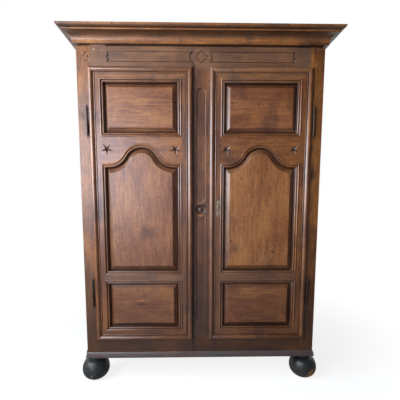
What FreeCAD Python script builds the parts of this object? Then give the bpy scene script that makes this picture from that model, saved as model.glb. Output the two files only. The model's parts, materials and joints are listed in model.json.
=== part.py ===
"""Two-door panelled cupboard on ball feet, joined with mortises, tenons and pegs.

Millimetres. The front faces -Y and +Z is up. The origin is on the floor, under the middle of the whole piece.
"""
import FreeCAD
import Part
import math
import os
from collections import namedtuple
from types import SimpleNamespace

Vector = FreeCAD.Vector
Arc = namedtuple("Arc", "through end")
Quarter = namedtuple("Quarter", "centre end")

SIZES = (
    # Case
    ("carcass_width", 1330, "outer faces of the left and right posts"),
    ("carcass_depth", 560, "front face of the front posts to back face of the rear posts"),
    ("foot_height", 183, "floor to underside of the case"),
    ("bottom_rail_height", 124, "front and side bottom rails"),
    ("opening_height", 1496, "door opening between bottom rail and frieze"),
    ("frieze_rail_height", 179, "front and side top rails"),
    ("top_board_thickness", 18, "boards that close the top"),
    ("post_width", 74, "corner post, seen from the front"),
    ("post_depth", 75, "corner post, seen from the side"),
    ("rail_thickness", 36, "front rails and centre stile"),
    ("centre_stile_width", 122, "fixed stile between the doors"),
    # Joints of the case
    ("tenon_thickness", 10, "all case tenons"),
    ("tenon_length", 45, "front and back rail tenons"),
    ("tenon_setback", 10, "front face to tenon cheek"),
    ("tenon_shoulder", 25, "rail edge to tenon edge"),
    ("tenon_end_gap", 2, "spare depth at the end of a mortise"),
    ("peg_radius", 4.5, "pegs through the front tenons"),
    ("peg_length", 30, "peg from its head inwards"),
    ("peg_proud", 0.8, "peg head in front of the post"),
    ("peg_inset", 18, "tenon's lower edge to the lower peg"),
    ("peg_spacing", 42, "lower peg to upper peg"),
    # Centre stile
    ("stile_tenon_inset", 20, "edge of the centre stile to its tenon edge"),
    ("flute_half_width", 26, "hollow at the face of the centre stile"),
    ("flute_slope", 4, "width of the hollow's sloping sides"),
    ("flute_depth", 5, "depth of the hollow"),
    ("flute_bottom_inset", 102, "door opening's lower edge to the hollow"),
    ("flute_top_inset", 90, "door opening's upper edge to the hollow"),
    ("rosette_height", 747, "door opening's lower edge to the rosette's middle"),
    ("rosette_half_width", 27, "oval left standing in the hollow, across"),
    ("rosette_half_height", 45, "oval left standing in the hollow, upright"),
    ("rosette_ring_radius", 17, "middle of the ring cut round the button"),
    ("rosette_ring_depth", 6, "radius of the cutter for that ring"),
    # Sides
    ("side_thickness", 28, "side rails"),
    ("side_middle_rail_height", 110, "rail between the side panels"),
    ("side_tenon_length", 35, "side rail tenons"),
    ("side_tenon_setback", 4, "outer face to the side tenon's cheek"),
    ("side_groove_setback", 15, "outer face to the side panel groove"),
    ("side_bevel", 40, "sloping border of the side panels"),
    ("side_field_setback", 4, "outer face to the side panels' field"),
    # Back, top, floor and shelves
    ("back_board_thickness", 18, "upright boards of the back"),
    ("back_rebate", 12, "rebate in the rear posts for the back boards"),
    ("back_rail_thickness", 26, "rails of the back"),
    ("back_board_count", 6, "upright boards"),
    ("shelf_thickness", 22, "floor and shelf boards"),
    ("shelf_board_count", 3, "boards in each shelf and the floor"),
    ("top_board_count", 3, "boards in the top"),
    ("bearer_width", 30, "battens under the shelf ends"),
    ("bearer_height", 36, "battens under the shelf ends"),
    ("shelf_front_setback", 50, "front face to the front edge of a shelf"),
    ("lower_shelf_height", 500, "top of the floor to top of the lower shelf"),
    ("upper_shelf_height", 1010, "top of the floor to top of the upper shelf"),
    ("shelf_end_gap", 1, "shelf end to post"),
    # Cornice
    ("cornice_height", 72, "whole crown moulding"),
    ("cornice_reach", 74, "top edge in front of the case"),
    ("cornice_foot_reach", 14, "lower fillet in front of the case"),
    ("cornice_foot_height", 9, "lower fillet"),
    ("cove_reach", 34, "hollow, front to back"),
    ("cove_height", 37, "hollow, upright"),
    ("cornice_step", 4, "flat between two members of the moulding"),
    ("cornice_bead_height", 11, "round under the top member"),
    ("cornice_bead_swell", 5, "how far that round swells"),
    ("cornice_lip_height", 5, "upright edge at the top"),
    # Base moulding
    ("base_height", 33, "base moulding"),
    ("base_reach", 8, "base moulding in front of the case"),
    ("base_edge", 9, "upright lower edge"),
    ("base_top_reach", 2, "upper edge in front of the case"),
    # Feet
    ("foot_radius", 81, "ball at its widest"),
    ("foot_widest_height", 63, "floor to the widest part of the ball"),
    ("foot_pad_radius", 16, "flat that stands on the floor"),
    ("foot_neck_radius", 40, "waist above the ball"),
    ("foot_neck_height", 128, "floor to the waist"),
    ("foot_neck_length", 18, "waist, upright"),
    ("foot_collar_radius", 55, "ring under the case"),
    ("foot_tenon_radius", 9, "round tenon in the side rail"),
    ("foot_tenon_length", 45, "round tenon in the side rail"),
    ("foot_inset_side", 14, "outer face of the case to the foot's axis"),
    ("foot_inset_front", 98, "front face of the case to the foot's axis"),
    # Door frames, measured from the lip's outer edge and from the face of the case
    ("lip_overlap", 15, "door lip over the edge of the opening"),
    ("lip_gap", 0.5, "back of the lip to the face of the case"),
    ("door_gap", 2, "door edge to the edge of the opening"),
    ("door_back", 18, "face of the case to the back of the door"),
    ("lip_edge", 6, "upright edge of the lip, up to where the round starts"),
    ("lip_round_width", 29, "large round along the lip"),
    ("lip_round_proud", 16, "top of the large round"),
    ("quirk_width", 1.6, "narrow channel beside a bead"),
    ("quirk_proud", 7.5, "bottom of the channels"),
    ("bead_width", 6.8, "small bead inside the large round"),
    ("bead_proud", 11.8, "top of the small bead"),
    ("flat_width", 21, "flat of the stiles and rails"),
    ("flat_proud", 12, "face of the flat"),
    ("panel_bead_width", 10, "bead along the flat, round each panel"),
    ("panel_bead_proud", 15, "top of that bead"),
    ("inner_bead_width", 10, "second bead round each panel"),
    ("inner_bead_proud", 11.5, "top of the second bead"),
    ("sight_width", 5.4, "slope from the second bead to the panel"),
    ("sight_proud", 2, "edge of the frame at the panel"),
    ("groove_depth", 10, "panel grooves"),
    ("groove_width", 8, "panel grooves"),
    ("groove_back", 5, "face of the case to the door panel groove"),
    ("tongue_gap", 0.2, "tongue to groove cheek"),
    ("tongue_end_gap", 1, "tongue edge to the bottom of its groove"),
    ("panel_gap", 0.5, "foot of a panel's slope to its frame"),
    ("panel_bevel", 22, "sloping border of the rectangular door panels"),
    ("arched_bevel", 26, "sloping border of the arched door panels"),
    ("field_proud", 12, "field of the door panels"),
    ("field_step", 1.2, "small step round a field"),
    # Heights in the door
    ("lower_panel_height", 302, "lower panel's frame opening"),
    ("lower_rail_flat", 30, "flat of the lower rail"),
    ("arch_rise", 107, "shoulder to crown"),
    ("arch_run", 178, "middle of the arch to where a shoulder starts"),
    ("arch_turn", 103, "middle of the arch to where its curve turns over"),
    ("arched_rail_flat", 34, "flat of the arched rail above the crown"),
    ("upper_panel_height", 307, "upper panel's frame opening"),
    # Joints of the doors
    ("door_tenon_thickness", 8, "door tenons"),
    ("door_tenon_back", 7, "face of the case to the back cheek of a door tenon"),
    ("door_tenon_inset", 24, "lip edge to a corner tenon"),
    ("door_tenon_width", 30, "corner tenons"),
    ("door_tenon_root", 14, "length of a tenon inside its own rail"),
    ("rail_tenon_length", 33, "tenons of the middle rails"),
    ("rail_tenon_shoulder", 4, "edge of a middle rail's flat to its tenon"),
    # Pin hinges
    ("fiche_length", 150, "both knuckles together"),
    ("fiche_inset", 209, "end of the door to the nearer end of the knuckles"),
    ("knuckle_radius", 5.5, "hinge knuckles"),
    ("knuckle_gap", 0.3, "upper knuckle to lower knuckle"),
    ("finial_length", 9, "turned end of a knuckle"),
    ("finial_radius", 3.2, "small ball at the end"),
    ("finial_neck_radius", 2, "neck between knuckle and ball"),
    ("pin_radius", 3, "hinge pin"),
    ("pin_length", 55, "pin above the lower knuckle"),
    ("pin_clearance", 0.05, "pin to bore, on the radius"),
    ("pin_end_gap", 1, "top of the pin to the end of its bore"),
    ("leaf_thickness", 3, "hinge leaves"),
    ("leaf_end", 8, "end of a knuckle to the edge of its leaf"),
    ("leaf_depth", 30, "leaf inside the wood"),
    ("hinge_offset", 10, "lip edge to hinge axis"),
    ("hinge_stand", 8.5, "hinge axis in front of the case"),
    # Lock of the right door
    ("key_height", 239, "shoulder of the arched panel down to the key"),
    ("key_radius", 2.8, "key shank"),
    ("key_clearance", 0.4, "shank to keyhole"),
    ("key_reach", 27, "flat of the door to the middle of the bow"),
    ("key_bow_radius", 9, "middle of the bow's ring"),
    ("key_bow_wire", 2, "radius of the bow's wire"),
    ("key_bit_length", 15, "shank axis to the end of the bit"),
    ("key_bit_thickness", 3, "bit"),
    ("key_bit_width", 4.5, "bit along the shank"),
    ("key_bit_setback", 1.5, "back of the door to the bit"),
    ("lock_width_inner", 30, "key to the lock's edge, towards the centre stile"),
    ("lock_width_outer", 28, "key to the lock's other edge"),
    ("lock_half_height", 40, "lock case"),
    ("lock_depth", 21, "lock case"),
    ("lock_wall", 2, "lock case"),
    ("lock_bolt_height", 14, "bolt"),
    ("lock_bolt_thickness", 6, "bolt"),
    ("lock_bolt_length", 46, "bolt"),
    ("lock_bolt_rise", 10, "key axis to the bolt's lower edge"),
    ("lock_bolt_setback", 7, "back of the door to the bolt"),
    ("lock_bolt_throw", 14, "travel into the centre stile"),
    ("slide_clearance", 0.4, "bolts to what guides them"),
    ("escutcheon_half_width", 9.6, "plate round the keyhole"),
    ("escutcheon_above", 36, "key to the plate's upper end"),
    ("escutcheon_below", 56, "key to the plate's lower end"),
    ("escutcheon_thickness", 1.6, "plate round the keyhole"),
    ("escutcheon_waist", 6, "half width between the plate's lobes"),
    # Inner bolt of the left door
    ("door_bolt_height", 171, "shoulder of the arched panel down to the bolt"),
    ("door_bolt_inset", 3, "door edge to the bolt's end"),
    ("door_bolt_length", 62, "bolt"),
    ("door_bolt_width", 14, "bolt, upright"),
    ("door_bolt_thickness", 8, "bolt, front to back"),
    ("door_bolt_setback", 2, "back of the door to the bolt"),
    ("door_bolt_throw", 22, "travel into the centre stile"),
    ("door_bolt_knob_radius", 4, "knob on the bolt"),
    ("door_bolt_knob_length", 12, "knob on the bolt"),
    ("staple_width", 8, "staples that guide the bolt"),
    ("staple_wall", 3.5, "metal round the bolt"),
)

doc = FreeCAD.newDocument("cupboard")
sheet = doc.addObject("Spreadsheet::Sheet", "Sizes")
for row, (alias, number, meaning) in enumerate(SIZES, start=1):
    sheet.set(f"A{row}", alias)
    sheet.set(f"B{row}", str(number))
    sheet.set(f"C{row}", meaning)
    sheet.setAlias(f"B{row}", alias)
doc.recompute()


class Length:
    """A cell of the sheet, or a sum worked out from cells, with its present value."""

    def __init__(self, text, value):
        self.text = text
        self.value = value

    def __float__(self):
        return float(self.value)

    def __add__(self, other):
        return joined(self, "+", other, float(self) + float(other))

    def __sub__(self, other):
        return joined(self, "-", other, float(self) - float(other))

    def __mul__(self, other):
        return joined(self, "*", other, float(self) * float(other))

    def __truediv__(self, other):
        return joined(self, "/", other, float(self) / float(other))

    def __neg__(self):
        return joined(0, "-", self, -float(self))


def text_of(item):
    return item.text if isinstance(item, Length) else repr(item)


def joined(first, sign, second, value):
    return Length(f"({text_of(first)} {sign} {text_of(second)})", value)


size = SimpleNamespace(**{alias: Length(f"Sizes.{alias}", number) for alias, number, _ in SIZES})

# Planes of the case
HALF = size.carcass_width / 2
FRONT = (size.cornice_reach - size.carcass_depth) / 2
BACK = FRONT + size.carcass_depth
POST_INSIDE = HALF - size.post_width
POST_BACK = FRONT + size.post_depth
REAR_POST_FRONT = BACK - size.post_depth
FLOOR = Length("0", 0)
CASE_BOTTOM = size.foot_height
OPENING_BOTTOM = CASE_BOTTOM + size.bottom_rail_height
OPENING_TOP = OPENING_BOTTOM + size.opening_height
CASE_TOP = OPENING_TOP + size.frieze_rail_height
TOP = CASE_TOP + size.top_board_thickness
STILE_HALF = size.centre_stile_width / 2
OPENING_WIDTH = POST_INSIDE - STILE_HALF

# Planes of the doors, which are alike on both sides of the centre stile
DOOR_MID = STILE_HALF + OPENING_WIDTH / 2
DOOR_HALF = OPENING_WIDTH / 2 + size.lip_overlap
DOOR_BOTTOM = OPENING_BOTTOM - size.lip_overlap
DOOR_TOP = OPENING_TOP + size.lip_overlap
LIP_OUTSIDE = POST_INSIDE + size.lip_overlap
LIP_INSIDE = STILE_HALF - size.lip_overlap
DOOR_BACK = FRONT + size.door_back
LIP_WIDTH = size.lip_round_width + size.bead_width + size.quirk_width * 2
FLAT_END = LIP_WIDTH + size.flat_width
MOULDING_WIDTH = size.panel_bead_width + size.quirk_width + size.inner_bead_width + size.sight_width
LOWER_PANEL_BOTTOM = DOOR_BOTTOM + FLAT_END
LOWER_PANEL_TOP = LOWER_PANEL_BOTTOM + size.lower_panel_height
ARCHED_BOTTOM = LOWER_PANEL_TOP + size.lower_rail_flat
UPPER_PANEL_TOP = DOOR_TOP - FLAT_END
UPPER_PANEL_BOTTOM = UPPER_PANEL_TOP - size.upper_panel_height
CROWN = UPPER_PANEL_BOTTOM - size.arched_rail_flat
SHOULDER = CROWN - size.arch_rise
PANEL_HALF = DOOR_HALF - FLAT_END
HINGE_X = LIP_OUTSIDE + size.hinge_offset
HINGE_Y = FRONT - size.hinge_stand
FICHE_BOTTOMS = (DOOR_BOTTOM + size.fiche_inset, DOOR_TOP - size.fiche_inset - size.fiche_length)
KEY_X = LIP_INSIDE + LIP_WIDTH + size.flat_width / 2
KEY_Z = SHOULDER - size.key_height
BOLT_Z = SHOULDER - size.door_bolt_height

LEFTWARDS = Vector(-1, 0, 0)
RIGHTWARDS = Vector(1, 0, 0)
FORWARDS = Vector(0, -1, 0)
BACKWARDS = Vector(0, 1, 0)
UPWARDS = Vector(0, 0, 1)

nodes = []


def node(piece):
    """Marks a finished sub-part, whose label names its file."""
    nodes.append(piece)
    return piece


def bind(piece, prop, length):
    piece.setExpression(prop, length.text)


def stand_at(piece, corner):
    for axis, length in zip("xyz", corner):
        bind(piece, f"Placement.Base.{axis}", length)


def box(name, low, high):
    piece = doc.addObject("Part::Box", name)
    for prop, start, end in zip(("Length", "Width", "Height"), low, high):
        bind(piece, prop, end - start)
    stand_at(piece, low)
    return piece


def cylinder(name, radius, start, length, direction=UPWARDS):
    piece = doc.addObject("Part::Cylinder", name)
    bind(piece, "Radius", radius)
    bind(piece, "Height", length)
    piece.Placement = FreeCAD.Placement(Vector(), FreeCAD.Rotation(UPWARDS, direction))
    stand_at(piece, start)
    return piece


def torus(name, ring_radius, wire_radius, middle, direction):
    piece = doc.addObject("Part::Torus", name)
    bind(piece, "Radius1", ring_radius)
    bind(piece, "Radius2", wire_radius)
    piece.Placement = FreeCAD.Placement(Vector(), FreeCAD.Rotation(UPWARDS, direction))
    stand_at(piece, middle)
    return piece


def sphere(name, radius, middle):
    piece = doc.addObject("Part::Sphere", name)
    bind(piece, "Radius", radius)
    stand_at(piece, middle)
    return piece


def fuse(name, pieces):
    piece = doc.addObject("Part::MultiFuse", name)
    piece.Shapes = pieces
    piece.Refine = True
    return piece


def cut(name, base, tools):
    piece = doc.addObject("Part::Cut", name)
    piece.Base = base
    piece.Tool = tools[0] if len(tools) == 1 else fuse(f"{name}_tools", tools)
    return piece


def common(name, base, region):
    piece = doc.addObject("Part::Common", name)
    piece.Base = base
    piece.Tool = region
    return piece


def mirrored(name, source):
    piece = doc.addObject("Part::Mirroring", name)
    piece.Source = source
    piece.Normal = RIGHTWARDS
    return piece


def group(name, pieces):
    piece = doc.addObject("Part::Compound", name)
    piece.Links = pieces
    return piece


def extrude(name, outline, direction, length):
    piece = doc.addObject("Part::Extrusion", name)
    piece.Base = outline
    piece.DirMode = "Custom"
    piece.Dir = direction
    piece.Solid = True
    bind(piece, "LengthFwd", length)
    return piece


def sweep(name, section, path):
    """Carries a section round a path, with mitred corners."""
    piece = doc.addObject("Part::Sweep", name)
    piece.Sections = [section]
    piece.Spine = (path, [])
    piece.Solid = True
    piece.Transition = "Right corner"
    return piece


def loft(name, first, second):
    piece = doc.addObject("Part::Loft", name)
    piece.Sections = [first, second]
    piece.Solid = True
    piece.Ruled = True
    return piece


def end_of(item):
    return item.end if isinstance(item, (Arc, Quarter)) else item


def quarter_ellipse(start, centre, end):
    """A quarter of an ellipse, whose long and short half axes run from centre to start and end."""
    far, near = sorted((start, end), key=centre.distanceToPoint, reverse=True)
    return Part.ArcOfEllipse(Part.Ellipse(far, near, centre), 0, math.pi / 2).toShape()


def wire(name, items, place):
    """A closed outline of corners and curves that end at a corner, put in space by place."""
    edges = []
    start = end_of(items[-1])
    for item in items:
        end = end_of(item)
        if isinstance(item, Arc):
            edges.append(Part.Arc(place(*start), place(*item.through), place(*end)).toShape())
        elif isinstance(item, Quarter):
            edges.append(quarter_ellipse(place(*start), place(*item.centre), place(*end)))
        else:
            edges.append(Part.makeLine(place(*start), place(*end)))
        start = end
    piece = doc.addObject("Part::Feature", name)
    piece.Shape = Part.Wire(edges)
    return piece


def point(x, y, z):
    return Vector(float(x), float(y), float(z))


def rectangle(low_a, high_a, low_b, high_b):
    """Corners of a rectangle, ending at its lowest corner, where a sweep's section stands."""
    return [(high_a, low_b), (high_a, high_b), (low_a, high_b), (low_a, low_b)]


def raised_panel(name, outline, place, direction, sight, bevel, plate, bevel_top, field):
    """A fielded panel: a plate with its tongues, a sloping border and a field."""
    back, front = plate
    tongue = sight - size.groove_depth + size.tongue_end_gap

    def outline_at(part, offset, proud):
        return wire(f"{name}_{part}_outline", outline(offset), lambda a, b: place(a, b, proud))

    tongues = extrude(f"{name}_tongues", outline_at("tongue", tongue, back), direction, front - back)
    slope = loft(
        f"{name}_slope",
        outline_at("slope", sight + size.panel_gap, front),
        outline_at("shoulder", sight + bevel, bevel_top),
    )
    middle = extrude(f"{name}_field", outline_at("field", sight + bevel, front), direction, field - front)
    return node(fuse(name, [tongues, slope, middle]))


# Tenons and pegs of the front frame, which the posts and rails share
def front_tenon(name, bottom, top, spare):
    """A rail's left tenon, or its mortise where there is spare depth."""
    low = (
        -POST_INSIDE - size.tenon_length - spare,
        FRONT + size.tenon_setback,
        bottom + size.tenon_shoulder,
    )
    high = (-POST_INSIDE, FRONT + size.tenon_setback + size.tenon_thickness, top - size.tenon_shoulder)
    return box(name, low, high)


NO_SPARE = Length("0", 0)
FRONT_RAILS = (("bottom_rail", CASE_BOTTOM, OPENING_BOTTOM), ("frieze", OPENING_TOP, CASE_TOP))

left_pegs = []
for rail_name, rail_bottom, _ in FRONT_RAILS:
    peg_heights = (
        rail_bottom + size.tenon_shoulder + size.peg_inset,
        rail_bottom + size.tenon_shoulder + size.peg_inset + size.peg_spacing,
    )
    for level, peg_z in zip(("lower", "upper"), peg_heights):
        peg_start = (-POST_INSIDE - size.tenon_length / 2, FRONT - size.peg_proud, peg_z)
        left_pegs.append(
            cylinder(f"{rail_name}_{level}_peg", size.peg_radius, peg_start, size.peg_length, BACKWARDS)
        )
right_pegs = [mirrored(f"{peg.Name}_right", peg) for peg in left_pegs]
node(group("frame_pegs", left_pegs + right_pegs))

# Openings of the left side frame, with the grooves that hold its panels
SIDE_MIDDLE = (OPENING_BOTTOM + OPENING_TOP) / 2
SIDE_MIDDLE_BOTTOM = SIDE_MIDDLE - size.side_middle_rail_height / 2
SIDE_MIDDLE_TOP = SIDE_MIDDLE + size.side_middle_rail_height / 2
SIDE_OPENINGS = (("lower", OPENING_BOTTOM, SIDE_MIDDLE_BOTTOM), ("upper", SIDE_MIDDLE_TOP, OPENING_TOP))
SIDE_RAILS = (
    ("bottom", CASE_BOTTOM, OPENING_BOTTOM),
    ("middle", SIDE_MIDDLE_BOTTOM, SIDE_MIDDLE_TOP),
    ("top", OPENING_TOP, CASE_TOP),
)
SIDE_GROOVE_X = -HALF + size.side_groove_setback

side_grooves = [
    box(
        f"{level}_side_groove",
        (SIDE_GROOVE_X, POST_BACK - size.groove_depth, bottom - size.groove_depth),
        (SIDE_GROOVE_X + size.groove_width, REAR_POST_FRONT + size.groove_depth, top + size.groove_depth),
    )
    for level, bottom, top in SIDE_OPENINGS
]


def side_tenons(name, bottom, top, spare):
    """A side rail's tenons in one bar from post to post, or their mortises where there is spare depth."""
    low = (
        -HALF + size.side_tenon_setback,
        POST_BACK - size.side_tenon_length - spare,
        bottom + size.tenon_shoulder,
    )
    high = (
        -HALF + size.side_tenon_setback + size.tenon_thickness,
        REAR_POST_FRONT + size.side_tenon_length + spare,
        top - size.tenon_shoulder,
    )
    return box(name, low, high)


side_mortises = [
    side_tenons(f"{level}_side_mortises", bottom, top, size.tenon_end_gap) for level, bottom, top in SIDE_RAILS
]


def foot_axis():
    return -HALF + size.foot_inset_side, FRONT + size.foot_inset_front


def side_frame():
    foot_x, foot_y = foot_axis()
    socket = cylinder("foot_socket", size.foot_tenon_radius, (foot_x, foot_y, CASE_BOTTOM),
                      size.foot_tenon_length + size.tenon_end_gap)
    rails = []
    for level, bottom, top in SIDE_RAILS:
        low = (-HALF, POST_BACK, bottom)
        high = (-HALF + size.side_thickness, REAR_POST_FRONT, top)
        bar = box(f"{level}_side_bar", low, high)
        tenons = side_tenons(f"{level}_side_tenons", bottom, top, NO_SPARE)
        tools = side_grooves + [socket] if bottom is CASE_BOTTOM else side_grooves
        rails.append(cut(f"{level}_side_rail", fuse(f"{level}_side_blank", [bar, tenons]), tools))
    left = node(group("left_side_rails", rails))
    node(mirrored("right_side_rails", left))


def side_panels():
    panels = []
    for level, bottom, top in SIDE_OPENINGS:

        def outline(offset, low=bottom, high=top):
            return rectangle(POST_BACK + offset, REAR_POST_FRONT - offset, low + offset, high - offset)

        plate_front = -size.side_groove_setback - size.tongue_gap
        plate_back = -size.side_groove_setback - size.groove_width + size.tongue_gap
        panels.append(
            raised_panel(
                f"{level}_side_panel", outline, lambda a, b, proud: point(-HALF - proud, a, b), LEFTWARDS,
                NO_SPARE, size.side_bevel, (plate_back, plate_front),
                -size.side_field_setback - size.field_step, -size.side_field_setback,
            )
        )
    for panel in panels:
        nodes.remove(panel)
    left = node(group("left_side_panels", panels))
    node(mirrored("right_side_panels", left))


# Pin hinges: the lower halves stay on the posts, the upper halves lift off with the doors
FICHE_MIDDLE = size.fiche_length / 2


def finial(name, base_z, direction):
    """The small ball at the free end of a knuckle."""
    ball_z = base_z + size.finial_length if direction is UPWARDS else base_z - size.finial_length
    neck = cylinder(f"{name}_neck", size.finial_neck_radius, (-HINGE_X, HINGE_Y, base_z),
                    size.finial_length, direction)
    return [neck, sphere(f"{name}_ball", size.finial_radius, (-HINGE_X, HINGE_Y, ball_z))]


def post_leaf(name, bottom):
    half_leaf = size.leaf_thickness / 2
    return box(
        name,
        (-HINGE_X - half_leaf, HINGE_Y, bottom + size.leaf_end),
        (-HINGE_X + half_leaf, FRONT + size.leaf_depth, bottom + FICHE_MIDDLE - size.leaf_end),
    )


def door_leaf(name, bottom):
    half_leaf = size.leaf_thickness / 2
    return box(
        name,
        (-HINGE_X, HINGE_Y - half_leaf, bottom + FICHE_MIDDLE + size.leaf_end),
        (-LIP_OUTSIDE + size.leaf_depth, HINGE_Y + half_leaf, bottom + size.fiche_length - size.leaf_end),
    )


def lower_half(name, bottom):
    knuckle = cylinder(f"{name}_knuckle", size.knuckle_radius, (-HINGE_X, HINGE_Y, bottom),
                       FICHE_MIDDLE - size.knuckle_gap)
    pin = cylinder(f"{name}_pin", size.pin_radius, (-HINGE_X, HINGE_Y, bottom),
                   FICHE_MIDDLE + size.pin_length)
    parts = [knuckle, pin, post_leaf(f"{name}_leaf", bottom)]
    return fuse(name, parts + finial(f"{name}_finial", bottom, -UPWARDS))


def upper_half(name, bottom):
    middle = bottom + FICHE_MIDDLE
    knuckle = cylinder(f"{name}_knuckle", size.knuckle_radius, (-HINGE_X, HINGE_Y, middle), FICHE_MIDDLE)
    parts = [knuckle, door_leaf(f"{name}_leaf", bottom)]
    body = fuse(f"{name}_body", parts + finial(f"{name}_finial", bottom + size.fiche_length, UPWARDS))
    bore = cylinder(f"{name}_bore", size.pin_radius + size.pin_clearance, (-HINGE_X, HINGE_Y, middle),
                    size.pin_length + size.pin_end_gap)
    return cut(name, body, [bore])


def fiches():
    lower = [lower_half(f"post_fiche_{place}", bottom) for place, bottom in zip(("low", "high"), FICHE_BOTTOMS)]
    upper = [upper_half(f"door_fiche_{place}", bottom) for place, bottom in zip(("low", "high"), FICHE_BOTTOMS)]
    left_post = node(group("left_post_fiches", lower))
    left_door = node(group("left_door_fiches", upper))
    node(mirrored("right_post_fiches", left_post))
    node(mirrored("right_door_fiches", left_door))


def front_posts():
    blank = box("front_post_blank", (-HALF, FRONT, CASE_BOTTOM), (-POST_INSIDE, POST_BACK, CASE_TOP))
    mortises = [
        front_tenon(f"{rail_name}_mortise", bottom, top, size.tenon_end_gap)
        for rail_name, bottom, top in FRONT_RAILS
    ]
    leaves = [post_leaf(f"post_leaf_slot_{place}", bottom) for place, bottom in zip(("low", "high"), FICHE_BOTTOMS)]
    tools = mortises + side_mortises + side_grooves + leaves + left_pegs
    left = node(cut("left_front_post", blank, tools))
    node(mirrored("right_front_post", left))


# Back rails and boards
BACK_RAIL_BACK = BACK - size.back_board_thickness
BACK_RAIL_FRONT = BACK_RAIL_BACK - size.back_rail_thickness
BACK_TENON_Y = BACK_RAIL_FRONT + (size.back_rail_thickness - size.tenon_thickness) / 2


def back_tenons(name, bottom, top, spare):
    end = POST_INSIDE + size.tenon_length + spare
    low = (-end, BACK_TENON_Y, bottom + size.tenon_shoulder)
    high = (end, BACK_TENON_Y + size.tenon_thickness, top - size.tenon_shoulder)
    return box(name, low, high)


def rear_posts():
    blank = box("rear_post_blank", (-HALF, REAR_POST_FRONT, FLOOR), (-POST_INSIDE, BACK, CASE_TOP))
    rebate = box(
        "rear_post_rebate",
        (-POST_INSIDE - size.back_rebate, BACK_RAIL_BACK, CASE_BOTTOM),
        (-POST_INSIDE, BACK, CASE_TOP),
    )
    mortises = [
        back_tenons(f"back_{rail_name}_mortises", bottom, top, size.tenon_end_gap)
        for rail_name, bottom, top in FRONT_RAILS
    ]
    left = node(cut("left_rear_post", blank, [rebate] + mortises + side_mortises + side_grooves))
    node(mirrored("right_rear_post", left))


def back():
    rails = []
    for rail_name, bottom, top in FRONT_RAILS:
        bar = box(f"back_{rail_name}_bar", (-POST_INSIDE, BACK_RAIL_FRONT, bottom), (POST_INSIDE, BACK_RAIL_BACK, top))
        rails.append(fuse(f"back_{rail_name}", [bar, back_tenons(f"back_{rail_name}_tenons", bottom, top, NO_SPARE)]))
    node(group("back_rails", rails))
    edge = POST_INSIDE + size.back_rebate
    width = edge * 2 / size.back_board_count
    boards = []
    for number in range(int(float(size.back_board_count))):
        low = (-edge + width * number, BACK_RAIL_BACK, CASE_BOTTOM)
        high = (-edge + width * (number + 1), BACK, CASE_TOP)
        boards.append(box(f"back_board_{number + 1}", low, high))
    node(group("back_boards", boards))


# Front frame
def stile_tenon(name, spare):
    """The centre stile's tenons in one bar from rail to rail, or their mortises where there is spare depth."""
    reach = size.tenon_length + spare
    edge = STILE_HALF - size.stile_tenon_inset
    low = (-edge, FRONT + size.tenon_setback, OPENING_BOTTOM - reach)
    high = (edge, FRONT + size.tenon_setback + size.tenon_thickness, OPENING_TOP + reach)
    return box(name, low, high)


def front_rails():
    stile_mortises = stile_tenon("centre_stile_mortises", size.tenon_end_gap)
    for name, (rail_name, bottom, top) in zip(("front_bottom_rail", "frieze_rail"), FRONT_RAILS):
        low = (-POST_INSIDE, FRONT, bottom)
        high = (POST_INSIDE, FRONT + size.rail_thickness, top)
        bar = box(f"{name}_bar", low, high)
        tenon = front_tenon(f"{name}_left_tenon", bottom, top, NO_SPARE)
        blank = fuse(f"{name}_blank", [bar, tenon, mirrored(f"{name}_right_tenon", tenon)])
        node(cut(name, blank, [stile_mortises] + left_pegs + right_pegs))


def flute(name, narrowing, y):
    """Outline of the centre stile's hollow: square below and round-headed above."""
    half = size.flute_half_width - narrowing
    bottom = OPENING_BOTTOM + size.flute_bottom_inset + narrowing
    spring = OPENING_TOP - size.flute_top_inset - size.flute_half_width
    head = [(half, bottom), (half, spring), Arc((FLOOR, spring + half), (-half, spring)), (-half, bottom)]
    return wire(name, head, lambda x, z: point(x, y, z))


def centre_stile():
    bar = box("centre_stile_bar", (-STILE_HALF, FRONT, OPENING_BOTTOM),
              (STILE_HALF, FRONT + size.rail_thickness, OPENING_TOP))
    blank = fuse("centre_stile_blank", [bar, stile_tenon("centre_stile_tenons", NO_SPARE)])
    hollow = loft(
        "centre_stile_hollow",
        flute("flute_mouth", NO_SPARE, FRONT),
        flute("flute_bed", size.flute_slope, FRONT + size.flute_depth),
    )
    rosette_z = OPENING_BOTTOM + size.rosette_height
    middle = (FLOOR, FRONT, rosette_z)
    oval = doc.addObject("Part::Ellipse", "rosette_oval")
    bind(oval, "MajorRadius", size.rosette_half_height)
    bind(oval, "MinorRadius", size.rosette_half_width)
    oval.Placement = FreeCAD.Placement(Vector(), FreeCAD.Rotation(UPWARDS, RIGHTWARDS, FORWARDS, "XYZ"))
    stand_at(oval, middle)
    island = extrude("rosette_island", oval, BACKWARDS, size.flute_depth)
    ring = torus("rosette_ring", size.rosette_ring_radius, size.rosette_ring_depth, middle, FORWARDS)
    bolts = [lock_bolt_bar("lock_bolt_mortise", size.slide_clearance, size.lock_bolt_throw + size.tenon_end_gap),
             door_bolt_bar("door_bolt_mortise", size.slide_clearance, size.door_bolt_throw + size.tenon_end_gap)]
    node(cut("centre_stile", blank, [cut("flute_cutter", hollow, [island]), ring] + bolts))


# Boards inside the case
def row_of_boards(name, count, low, high):
    """Boards that lie side by side from front to back."""
    width = (high[1] - low[1]) / count
    boards = []
    for number in range(int(float(count))):
        start = (low[0], low[1] + width * number, low[2])
        end = (high[0], low[1] + width * (number + 1), high[2])
        boards.append(box(f"{name}_{number + 1}", start, end))
    return node(group(name, boards))


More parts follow.
